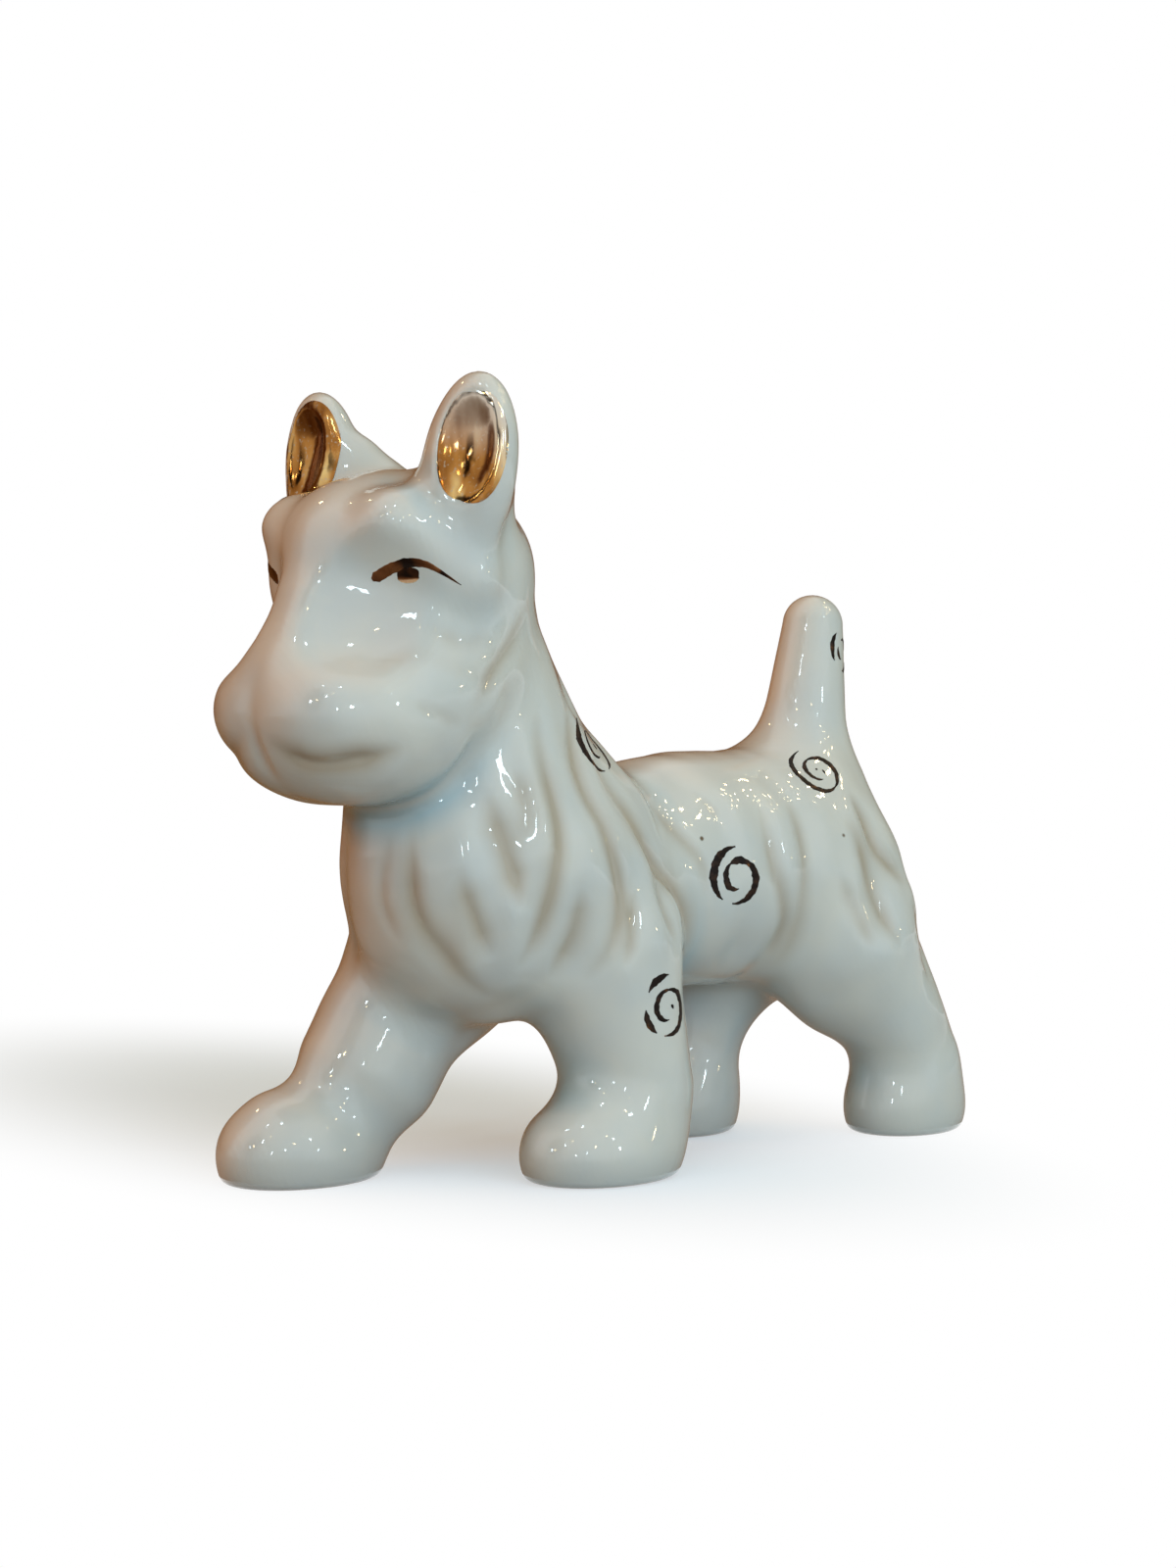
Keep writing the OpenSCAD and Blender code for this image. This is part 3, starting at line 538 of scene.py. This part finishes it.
def glaze():
    made, tree, surface = material("glazed_porcelain")
    place = node(tree, "TexCoord").outputs["Object"]
    shelter = node(tree, "Attribute", attribute_name="shelter").outputs["Fac"]
    crease = node(tree, "Attribute", attribute_name="crease").outputs["Fac"]
    # Clouding of the glaze, about 9 mm across
    cloud = node(tree, "TexNoise", {"Vector": place, "Scale": 110, "Detail": 3}).outputs["Fac"]
    body = node(tree, "ValToRGB", {"Fac": cloud},
                [(0.3, linear("#cacbc8")), (0.7, linear("#d4d0c7"))]).outputs["Color"]
    # Painted shade: darker and blue-grey in hollows, where the clay round them keeps light off
    hollow_shade = node(tree, "ValToRGB", {"Fac": shelter},
                [(0.12, (0, 0, 0, 1)), (0.6, (1, 1, 1, 1))]).outputs["Color"]
    # Painted shade: a darker warm grey in furrows and tight crevices
    furrows = node(tree, "ValToRGB", {"Fac": crease},
                   [(0.2, (0, 0, 0, 1)), (0.9, (0.7, 0.7, 0.7, 1))]).outputs["Color"]
    # Iron specks of 0.3 to 0.6 mm, one in a patch of a square centimetre or so
    cells = node(tree, "TexVoronoi", {"Vector": place, "Scale": 95, "Randomness": 1})
    specks = node(tree, "ValToRGB", {"Fac": cells.outputs["Distance"]},
                  [(0.018, (1, 1, 1, 1)), (0.034, (0, 0, 0, 1))]).outputs["Color"]
    # Bare biscuit on the soles, up to a third of a millimetre over the table
    height = node(tree, "SeparateXYZ", {"Vector": place}).outputs["Z"]
    bare = node(tree, "MapRange", {"Value": height, "From Min": 0.00012, "From Max": 0.00035,
                                   "To Min": 1, "To Max": 0}).outputs["Result"]
    for share, over in ((hollow_shade, "#a9bfc6"), (furrows, "#a8957c"), (specks, "#6f5d4c"),
                        (bare, "#cfc3b0")):
        body = node(tree, "Mix", {"Factor": share, "A": body, "B": linear(over)},
                    data_type="RGBA").outputs[2]
    gloss = node(tree, "MapRange", {"Value": bare, "To Min": 0.22, "To Max": 0.8}).outputs["Result"]
    # The glaze settled in waves some 4 mm long and 0.01 mm high
    wave = node(tree, "TexNoise", {"Vector": place, "Scale": 260, "Detail": 1}).outputs["Fac"]
    bump = node(tree, "Bump", {"Height": wave, "Strength": 0.15,
                               "Distance": 0.0003}).outputs["Normal"]
    shader = node(tree, "BsdfPrincipled", {
        "Base Color": body, "Roughness": gloss, "Specular IOR Level": 0.1, "IOR": 1.5,
        "Coat Weight": 1.0, "Coat Roughness": 0.02, "Coat IOR": 1.5,
        "Normal": bump, "Coat Normal": bump})
    tree.links.new(shader.outputs["BSDF"], surface)
    return made


GLAZE = glaze()


def glazed(piece, node_name):
    """Gives a casting its glaze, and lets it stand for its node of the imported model."""
    piece.data.materials.append(GLAZE)
    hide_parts(node_name)
    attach(piece, "root")


# ---------------------------------------------------------------- castings
# Trunk with the neck, head with the face, two ears, tail and four legs.
glazed(casting("trunk_casting", ~(in_head | in_ears | in_tail | in_legs)), "torso")
glazed(casting("head_casting", in_head), "head")
glazed(casting("tail_casting", in_tail), "tail")
for end, front in (("front", True), ("hind", False)):
    for side, left in (("left", True), ("right", False)):
        chosen = in_legs & (in_left == left) & (in_front == front)
        glazed(casting(f"{end}_{side}_leg_casting", chosen), f"leg_{end}_{side}")
for side, left in (("left", True), ("right", False)):
    glazed(casting(f"{side}_ear_casting", in_ears & (in_left == left)), f"ear_{side}")


# ---------------------------------------------------------------- gold ear linings
# Bright gold lustre, brushed over the fired glaze into the hollow of each ear and fired
# again. It is a mirror with a wavering edge, its dark brown, amber and pale streaks along
# the brush marks painted reflections.
def gold_lustre():
    made, tree, surface = material("gold_lustre")
    place = node(tree, "TexCoord").outputs["Object"]
    # Brush marks run down the ear, 1.5 mm apart and about 9 mm long
    stretched = node(tree, "Mapping", {"Vector": place, "Scale": (1, 1, 0.16)}).outputs["Vector"]
    marks = node(tree, "TexNoise", {"Vector": stretched, "Scale": 380, "Detail": 2}).outputs["Fac"]
    # The marks are coloured from dark brown to pale gold: painted reflection streaks
    colour = node(tree, "ValToRGB", {"Fac": marks}, [
        (0.32, linear("#7a4a1c")), (0.5, linear("#a8743a")),
        (0.68, linear("#d8b878"))]).outputs["Color"]
    # Worn spots of 0.2 mm, greyer, where the film is thinnest
    grain = node(tree, "TexNoise", {"Vector": place, "Scale": 2600, "Detail": 2}).outputs["Fac"]
    worn = node(tree, "ValToRGB", {"Fac": grain},
                [(0.6, (0, 0, 0, 1)), (0.72, (0.6, 0.6, 0.6, 1))]).outputs["Color"]
    # Paler and silvery towards the top of the left ear
    up = node(tree, "VectorMath", {0: place, 1: (30, 0, 90)}, operation="DOT_PRODUCT")
    up = node(tree, "Math", {0: up.outputs["Value"], 1: marks}, operation="ADD")
    silvery_top = node(tree, "MapRange", {"Value": up.outputs[0], "From Min": 8.2,
                                   "From Max": 8.9}).outputs["Result"]
    for share, over in ((worn, "#a89c8c"), (silvery_top, "#c9c2b4")):
        colour = node(tree, "Mix", {"Factor": share, "A": colour, "B": linear(over)},
                      data_type="RGBA").outputs[2]
    bump = node(tree, "Bump", {"Height": marks, "Strength": 0.35,
                               "Distance": 0.0005}).outputs["Normal"]
    shader = node(tree, "BsdfPrincipled", {
        "Base Color": colour, "Metallic": 1.0, "Roughness": 0.12, "Normal": bump})
    tree.links.new(shader.outputs["BSDF"], surface)
    return made


GOLD = gold_lustre()
FILM_MM = 0.06


def painted(p):
    """Distance past the brush's edge: a wavering line 0.4 mm outside the scoop, and more
    than 2 mm outside it on the dog's left."""
    edge = np.minimum(scoop_form(p) - 0.4, scoop_form(p - (1.4, 0, -0.2)) - 1)
    return edge - 0.05 * ripple(p, (4, 4, 4), 8)


def lining(name, chosen):
    """The skin inside the painted edge, lifted by the film and closed behind."""
    rows, inside = used(skin, faces[chosen])
    rows, inside = part(rows, inside, painted(rows[:, :3]))
    rows, inside = used(rows, inside[painted(rows[inside].mean(1)[:, :3]) < 0])
    count = len(rows)
    front, back = rows.copy(), rows.copy()
    front[:, :3] += FILM_MM * rows[:, 3:6]
    back[:, :3] -= FILM_MM * rows[:, 3:6]
    a, b = rim_of(inside).T
    walls = [np.column_stack([b, a, a + count]), np.column_stack([b, a + count, b + count])]
    behind = np.vstack([inside[:, ::-1] + count, *walls])
    return solid(name, np.vstack([front, back]), inside, behind)


def painted_piece(piece, colour, node_name):
    """Gives a painted piece its lustre, and lets it stand for its node."""
    piece.data.materials.append(colour)
    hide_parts(node_name)
    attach(piece, "root")


for side, left in (("left", True), ("right", False)):
    facing_front = skin[faces, 4].mean(1) < 0
    piece = lining(f"{side}_ear_gold", (in_ears | in_head) & (in_left == left) & facing_front)
    painted_piece(piece, GOLD, f"ear_gold_{side}")


# ---------------------------------------------------------------- curls
# Curls of the coat, drawn over the glaze with a fine brush in a lustre that fired nearly
# black, and partly rubbed off since. Each is one spiral of a turn and a half, wound from
# its outer end at the top, broken where the brush lifted, with a dot or two in its middle.
def brush(line, width, seed, rough=0.14, bright=0.0):
    """A brush stroke, closed all round. Seven points cross the stroke at each point of
    its line, lying on the skin, and swell to FILM_MM in the middle. Five more run back
    under it. The edges waver by the rough share of the width, and bright is how light
    the stroke is at each point of the line; where it is high, a painted highlight."""
    line = settle(np.array(line, float))
    along = np.gradient(line, axis=0)
    up = slope(line)
    across = np.cross(up, along)
    across /= np.linalg.norm(across, axis=1)[:, None]
    rng = np.random.default_rng(seed)
    walk = np.cumsum(np.linalg.norm(along, axis=1))
    waver = [1 + rough * sum(np.sin(walk * k + rng.uniform(0, 6.28)) for k in (2.5, 4.5, 8)) / 1.7
             for _ in (0, 1)]
    top = np.array([-1, -0.85, -0.45, 0, 0.45, 0.85, 1])
    v = np.concatenate([top, top[-2:0:-1]])
    lift = np.concatenate([FILM_MM * (1 - top ** 4) - 0.01, np.full(5, -FILM_MM)])
    half = np.where(v < 0, waver[0][:, None], waver[1][:, None]) * np.array(width)[:, None] / 2
    p = (line[:, None] + across[:, None] * (v * half)[..., None]).reshape(-1, 3)
    p = settle(p, 2)
    up = slope(p)
    up /= np.linalg.norm(up, axis=1)[:, None]
    p = p + up * (coat(p)[0] + np.tile(lift, len(line)))[:, None]
    ring = np.arange(len(v))
    start = np.arange(len(line) - 1)[:, None] * len(v)
    a, b = start + ring, start + (ring + 1) % len(v)
    sides = np.stack([a, b, b + len(v), a + len(v)], -1).reshape(-1, 4)
    ends = np.array([ring[::-1], ring + len(p) - len(v)])
    return p, sides, ends, np.repeat(np.broadcast_to(bright, len(line)), len(v))


def drawing(name, strokes):
    """A mesh in metres of several brush strokes."""
    points, all_faces = np.zeros((0, 3)), []
    for p, sides, ends, _ in strokes:
        all_faces += (sides + len(points)).tolist() + (ends + len(points)).tolist()
        points = np.vstack([points, p])
    mesh = bpy.data.meshes.new(name)
    mesh.from_pydata((points / 1000).tolist(), [], all_faces)
    mesh.shade_smooth()
    attribute(mesh, "bright", np.concatenate([bright for *_, bright in strokes]))
    piece = bpy.data.objects.new(name, mesh)
    bpy.context.scene.collection.objects.link(piece)
    return piece


def worn_lustre():
    made, tree, surface = material("worn_lustre")
    place = node(tree, "TexCoord").outputs["Object"]
    # The film is uneven by the half millimetre: blackish brown, with gold left in places
    patch = node(tree, "TexNoise", {"Vector": place, "Scale": 900, "Detail": 3}).outputs["Fac"]
    colour = node(tree, "ValToRGB", {"Fac": patch}, [
        (0.45, linear("#1e1715")), (0.62, linear("#3a2a22")),
        (0.74, linear("#7a5230"))]).outputs["Color"]
    metal = node(tree, "ValToRGB", {"Fac": patch},
                 [(0.55, (0, 0, 0, 1)), (0.72, (0.8, 0.8, 0.8, 1))]).outputs["Color"]
    shader = node(tree, "BsdfPrincipled", {
        "Base Color": colour, "Metallic": metal, "Roughness": 0.35, "Specular IOR Level": 0.1})
    tree.links.new(shader.outputs["BSDF"], surface)
    return made


WORN = worn_lustre()
CURL_R, CURL_PITCH, CURL_TURNS = 3.9, 1.75, 1.55    # mm, mm and turns
# Middle on the left side, how much farther forward on the right, share of the full size,
# heaviest stroke in mm, and the spans of the spiral that are painted, dots past its end
CURLS = {
    "neck": ((10.7, -11.2, 49.2), 0, 1, 1, ((0.02, 0.3), (0.34, 0.62), (0.64, 0.98), (1.1, 1.2))),
    "flank": ((13.3, 8.8, 33.5), 0, 1, 1.3, ((0.0, 0.25), (0.3, 0.64), (0.55, 0.7), (0.68, 0.98))),
    "leg": ((17, -5.4, 19.6), 16.7, 1, 1.2,
            ((0.0, 0.1), (0.16, 0.26), (0.3, 0.66), (0.62, 0.98), (1.12, 1.2))),
    "rump": ((8.8, 26.3, 45.6), 0, 1, 1,
             ((0.03, 0.4), (0.37, 0.7), (0.66, 0.98), (1.08, 1.16), (1.28, 1.36))),
    "tail": ((3.6, 35.4, 60.1), 0, 0.75, 0.8, ((0.05, 0.2), (0.3, 0.42), (0.5, 0.66), (0.75, 0.9))),
}


def spiral(middle, side, share, t):
    """r(t) out from the middle, in the plane that touches the skin there, with the radius
    shrinking by CURL_PITCH a turn, t = 0 at the top and t = 1 at the inner end."""
    middle = settle(np.array([middle], float))
    up = slope(middle)[0]
    u = np.cross(up, (0, 0, side))
    u /= np.linalg.norm(u)
    w = np.cross(up / np.linalg.norm(up), u) * side
    turn = 2 * np.pi * (CURL_TURNS * t - 0.25)
    r = share * (CURL_R - CURL_PITCH * CURL_TURNS * t)
    return middle + r[:, None] * (np.cos(turn)[:, None] * u + np.sin(turn)[:, None] * w)


for n, (name, ((x, y, z), forward, share, heaviest, spans)) in enumerate(CURLS.items()):
    for side, sign in (("left", 1), ("right", -1)):
        middle = (x, y, z) if side == "left" else (-x, y - forward, z)
        strokes = []
        for m, (start, end) in enumerate(spans):
            t = np.linspace(start, end, 8 + int(90 * (end - start)))
            taper = np.sin(np.pi * np.clip((t - start) / (end - start), 0.03, 0.97)) ** 0.75
            # Lighter towards the middle, and in the shortest spans
            width = heaviest * taper * (1 - 0.35 * t) * min(1, (end - start) / 0.12)
            strokes.append(brush(spiral(middle, sign, share, t), width, 10 * n + m))
        piece = drawing(f"{name}_{side}_curl", strokes)
        painted_piece(piece, WORN, f"curl_{name}_{side}")


# ---------------------------------------------------------------- eyes
# Each eye is one arched brush stroke of the same gold, thick by the nose and drawn out to
# a point, with a round pupil hanging from it. The stroke is dark where it crosses itself,
# and the pupil's pale foot is a painted highlight.
LASH = [(7.1, -39.1, 67.7), (8.1, -38.7, 68.4), (9.6, -38.3, 69.1), (11.4, -37.9, 69.4),
        (12.9, -37.1, 69.3), (14, -35.8, 68.6), (15.3, -33.6, 67)]
PUPIL = [(11.2, -37.6, 69), (11.1, -37.4, 68.5), (10.9, -37.2, 67.9), (10.8, -37, 67.3)]


def eye_gold():
    made, tree, surface = material("eye_gold")
    place = node(tree, "TexCoord").outputs["Object"]
    # Thick and thin places of the stroke, about 1 mm long
    depth = node(tree, "TexNoise", {"Vector": place, "Scale": 700, "Detail": 2}).outputs["Fac"]
    bright = node(tree, "Attribute", attribute_name="bright").outputs["Fac"]
    depth = node(tree, "MapRange", {"Value": depth, "From Min": 0.3, "From Max": 0.7,
                                    "To Min": -0.12, "To Max": 0.12}, clamp=False)
    depth = node(tree, "Math", {0: depth.outputs["Result"], 1: bright}, operation="ADD")
    # The palest stop, reached only at the pupil's foot, is a painted highlight
    colour = node(tree, "ValToRGB", {"Fac": depth.outputs[0]}, [
        (0.1, linear("#1c100a")), (0.35, linear("#5c361c")), (0.6, linear("#8a5a34")),
        (0.95, linear("#f0cfa8"))]).outputs["Color"]
    shader = node(tree, "BsdfPrincipled", {
        "Base Color": colour, "Metallic": 0.85, "Roughness": 0.18})
    tree.links.new(shader.outputs["BSDF"], surface)
    return made


EYE_GOLD = eye_gold()
for side, sign in (("left", 1), ("right", -1)):
    lash = drawn_line(LASH, 10) * (sign, 1, 1)
    t = np.linspace(0, 1, len(lash))
    lash_width = 1.35 * np.clip(8 * t + 0.35, 0, 1) * np.clip(1.35 - 1.3 * t ** 1.8, 0.06, 1)
    lash_bright = 0.45 - 0.45 * np.exp(-((t - 0.52) / 0.1) ** 2) - 0.25 * (t > 0.85)
    pupil = drawn_line(PUPIL, 6) * (sign, 1, 1)
    t = np.linspace(-0.97, 0.97, len(pupil))
    # The pupil is dark above, and pale at its foot as a painted highlight
    pupil_width = 2.8 * np.sqrt(1 - t ** 2) ** 0.8
    pupil_dark_and_glint = 0.15 + np.clip(2 * t - 0.4, 0, 0.9)
    strokes = [brush(lash, lash_width, 5, 0.06, lash_bright),
               brush(pupil, pupil_width, 6, 0.05, pupil_dark_and_glint)]
    painted_piece(drawing(f"{side}_eye_gold", strokes), EYE_GOLD, f"eye_gold_{side}")


# ---------------------------------------------------------------- floor and light
# A white table in a white room. By its light the room is tan on the dog's right and cool
# on its left, with a soft daylight lamp there, warm ones overhead and at the right, and a
# pale one behind. The glaze mirrors eight windows, warm bulbs and the brown screens.
def plane(name, corners, made):
    """A stage plane through four corners, with a material."""
    mesh = bpy.data.meshes.new(name)
    mesh.from_pydata(corners, [], [(0, 1, 2, 3)])
    mesh.materials.append(made)
    stand = bpy.data.objects.new(name, mesh)
    bpy.context.scene.collection.objects.link(stand)
    return stand


def seen_ray(tree):
    """1 for the rays that show the background: from the camera, or by mirror or glass."""
    ray = node(tree, "LightPath").outputs
    seen = ray["Is Camera Ray"]
    for other in ("Is Glossy Ray", "Is Transmission Ray"):
        seen = node(tree, "Math", {0: seen, 1: ray[other]}, operation="MAXIMUM").outputs[0]
    return seen


COOL_SIDE = 0.985, 0.174, 0        # heading 100


def white_table():
    made, tree, surface = material("white_table")
    seen = seen_ray(tree)
    place = node(tree, "TexCoord").outputs["Object"]
    # A board to look at: a fifth of its white is its own in the shadow, which falls back
    # and to the dog's right, and all of it farther off. So the board is greyer round the
    # shadow: a painted shadow, with the real shadow in it.
    oval = node(tree, "Mapping", {"Vector": place, "Scale": (0.5, 1, 1)}).outputs["Vector"]
    far = node(tree, "VectorMath", {0: oval, 1: (-0.025, 0, 0)}, operation="DISTANCE")
    own = node(tree, "MapRange", {"Value": far.outputs["Value"], "From Min": 0.01,
                                  "From Max": 0.062, "To Min": 0.2, "To Max": 1},
               interpolation_type="SMOOTHSTEP")
    own = node(tree, "Math", {0: own.outputs["Result"], 1: seen}, operation="MULTIPLY")
    # By its light, brown on the dog's right and pale on its left
    across = node(tree, "VectorMath", {0: place, 1: COOL_SIDE}, operation="DOT_PRODUCT")
    across = node(tree, "MapRange", {"Value": across.outputs["Value"], "From Min": -0.1,
                                     "From Max": 0.1})
    cast = node(tree, "ValToRGB", {"Fac": across.outputs["Result"]}, [
        (0.1, linear("#745c40")), (0.45, linear("#706858")),
        (0.75, linear("#b4c4cc"))]).outputs["Color"]
    tint = node(tree, "Mix", {"Factor": seen, "A": cast, "B": linear("#d2eaff")},
                data_type="RGBA")
    board = node(tree, "BsdfDiffuse", {"Color": tint.outputs[2]})
    white = node(tree, "Emission", {"Color": (1, 1, 1, 1), "Strength": 1})
    mixed = node(tree, "MixShader", {"Fac": own.outputs[0], 1: board.outputs[0],
                                     2: white.outputs[0]})
    tree.links.new(mixed.outputs[0], surface)
    return made


plane("floor", [(-4, -4, 0), (4, -4, 0), (4, 4, 0), (-4, 4, 0)], white_table())


MIDDLE = np.array([0, 0, 0.045])


def towards(heading, height, distance):
    """A place so far from the middle of the figure, heading degrees round from the front
    towards its left, and height degrees up."""
    a, b = np.radians([heading, height])
    direction = np.array([np.sin(a) * np.cos(b), -np.cos(a) * np.cos(b), np.sin(b)])
    return MIDDLE + distance * direction


def screen(name, corners, colour):
    """A card with blurred edges, seen only in the glaze and the gold."""
    made, tree, surface = material(name)
    uv = node(tree, "TexCoord").outputs["UV"]
    off = node(tree, "VectorMath", {0: uv, 1: (0.5, 0.5, 0)}, operation="DISTANCE")
    edge = node(tree, "MapRange", {"Value": off.outputs["Value"], "From Min": 0.2,
                                   "From Max": 0.5}, interpolation_type="SMOOTHSTEP")
    cloth = node(tree, "Emission", {"Color": linear(colour)})
    clear = node(tree, "BsdfTransparent")
    mixed = node(tree, "MixShader", {"Fac": edge.outputs["Result"], 1: cloth.outputs[0],
                                     2: clear.outputs[0]})
    tree.links.new(mixed.outputs[0], surface)
    stand = plane(name, corners, made)
    stand.data.uv_layers.new().data.foreach_set("uv", [0, 0, 1, 0, 1, 1, 0, 1])
    stand.visible_diffuse = stand.visible_shadow = stand.visible_camera = False


def upright(heading, width, low, high):
    """Corners of a screen that stands 0.9 m off and faces the figure."""
    middle = towards(heading, 0, 0.9)[:2]
    across = np.array([-middle[1], middle[0]]) / 0.9 * width / 2
    left, right = middle - across, middle + across
    return [(*left, low), (*right, low), (*right, high), (*left, high)]


screen("front_screen", upright(5, 0.6, -0.1, 1.1), "#2a1c12")
screen("left_screen", upright(-98, 3.4, -1.6, 2.2), "#6e4620")
screen("back_screen", upright(170, 3.4, -1.6, 2.2), "#8a8474")
screen("table_card",
       [(-1.7, -1, 0.001), (0.5, -1, 0.001), (0.5, 1.2, 0.001), (-1.7, 1.2, 0.001)], "#7a5c3c")


def lamp(name, place, size, watts, colour, mirrored=True):
    """A lamp of a width and height in metres, that faces the figure."""
    light = bpy.data.lights.new(name, "AREA")
    light.shape = "RECTANGLE"
    light.size, light.size_y = size
    light.energy, light.color = watts, linear(colour)[:3]
    made = bpy.data.objects.new(name, light)
    bpy.context.scene.collection.objects.link(made)
    made.location = place
    x, y, z = place - MIDDLE
    made.rotation_euler = np.arctan2(np.hypot(x, y), z), 0, np.arctan2(y, x) + np.pi / 2
    made.visible_glossy = mirrored


lamp("soft_top", towards(-30, 66, 0.9), (0.6, 0.6), 1.05, "#ffc474", mirrored=False)
lamp("soft_right", towards(78, 8, 0.8), (0.45, 0.45), 2.15, "#d8e8fa", mirrored=False)
lamp("warm_left", towards(-50, 26, 0.7), (0.35, 0.3), 1.15, "#ff7c22", mirrored=False)
lamp("soft_behind", towards(-138, 8, 0.8), (0.45, 0.45), 2.4, "#ffe8cc", mirrored=False)
# Headings and heights of what the glaze mirrors
WINDOWS = [(57, 13), (98, 13), (5, 57), (20, 30), (43, 66), (39, 8), (93, 32), (2, 16)]
BULBS = [(128, 44), (138, 54), (146, 38), (156, 47), (168, 42), (-178, 48), (8, 20), (-75, 44),
         (70, 26), (127, 6), (133, 41), (142, 45), (151, 52), (161, 38), (162, 54), (118, 40),
         (85, 38), (30, 40)]
for n, (heading, height) in enumerate(WINDOWS):
    lamp(f"window_{n}", towards(heading, height, 0.6), (0.022, 0.05), 0.1, "#dff4ff")
for n, (heading, height) in enumerate(BULBS):
    lamp(f"bulb_{n}", towards(heading, height, 0.6), (0.018, 0.018), 0.04, "#ffe0a8")

world = bpy.data.worlds.new("white_room")
bpy.context.scene.world = world
world.use_nodes = True
tree = world.node_tree
tree.nodes.clear()
# How far a direction points to the cool side, from 0 to 1
heading = node(tree, "TexCoord").outputs["Generated"]
cool = node(tree, "VectorMath", {0: heading, 1: COOL_SIDE}, operation="DOT_PRODUCT")
cool = node(tree, "MapRange", {"Value": cool.outputs["Value"], "From Min": -1, "From Max": 1})
room = node(tree, "ValToRGB", {"Fac": cool.outputs["Result"]}, [
    (0.3, linear("#a08a68")), (0.5, linear("#a08e70")), (0.7, linear("#aec8cc"))]).outputs["Color"]
room = node(tree, "Mix", {"Factor": seen_ray(tree), "A": room, "B": (1, 1, 1, 1)},
            data_type="RGBA")
sky = node(tree, "Background", {"Color": room.outputs[2], "Strength": 1})
tree.links.new(sky.outputs[0], node(tree, "OutputWorld").inputs["Surface"])

bpy.context.scene.view_settings.view_transform = "Standard"
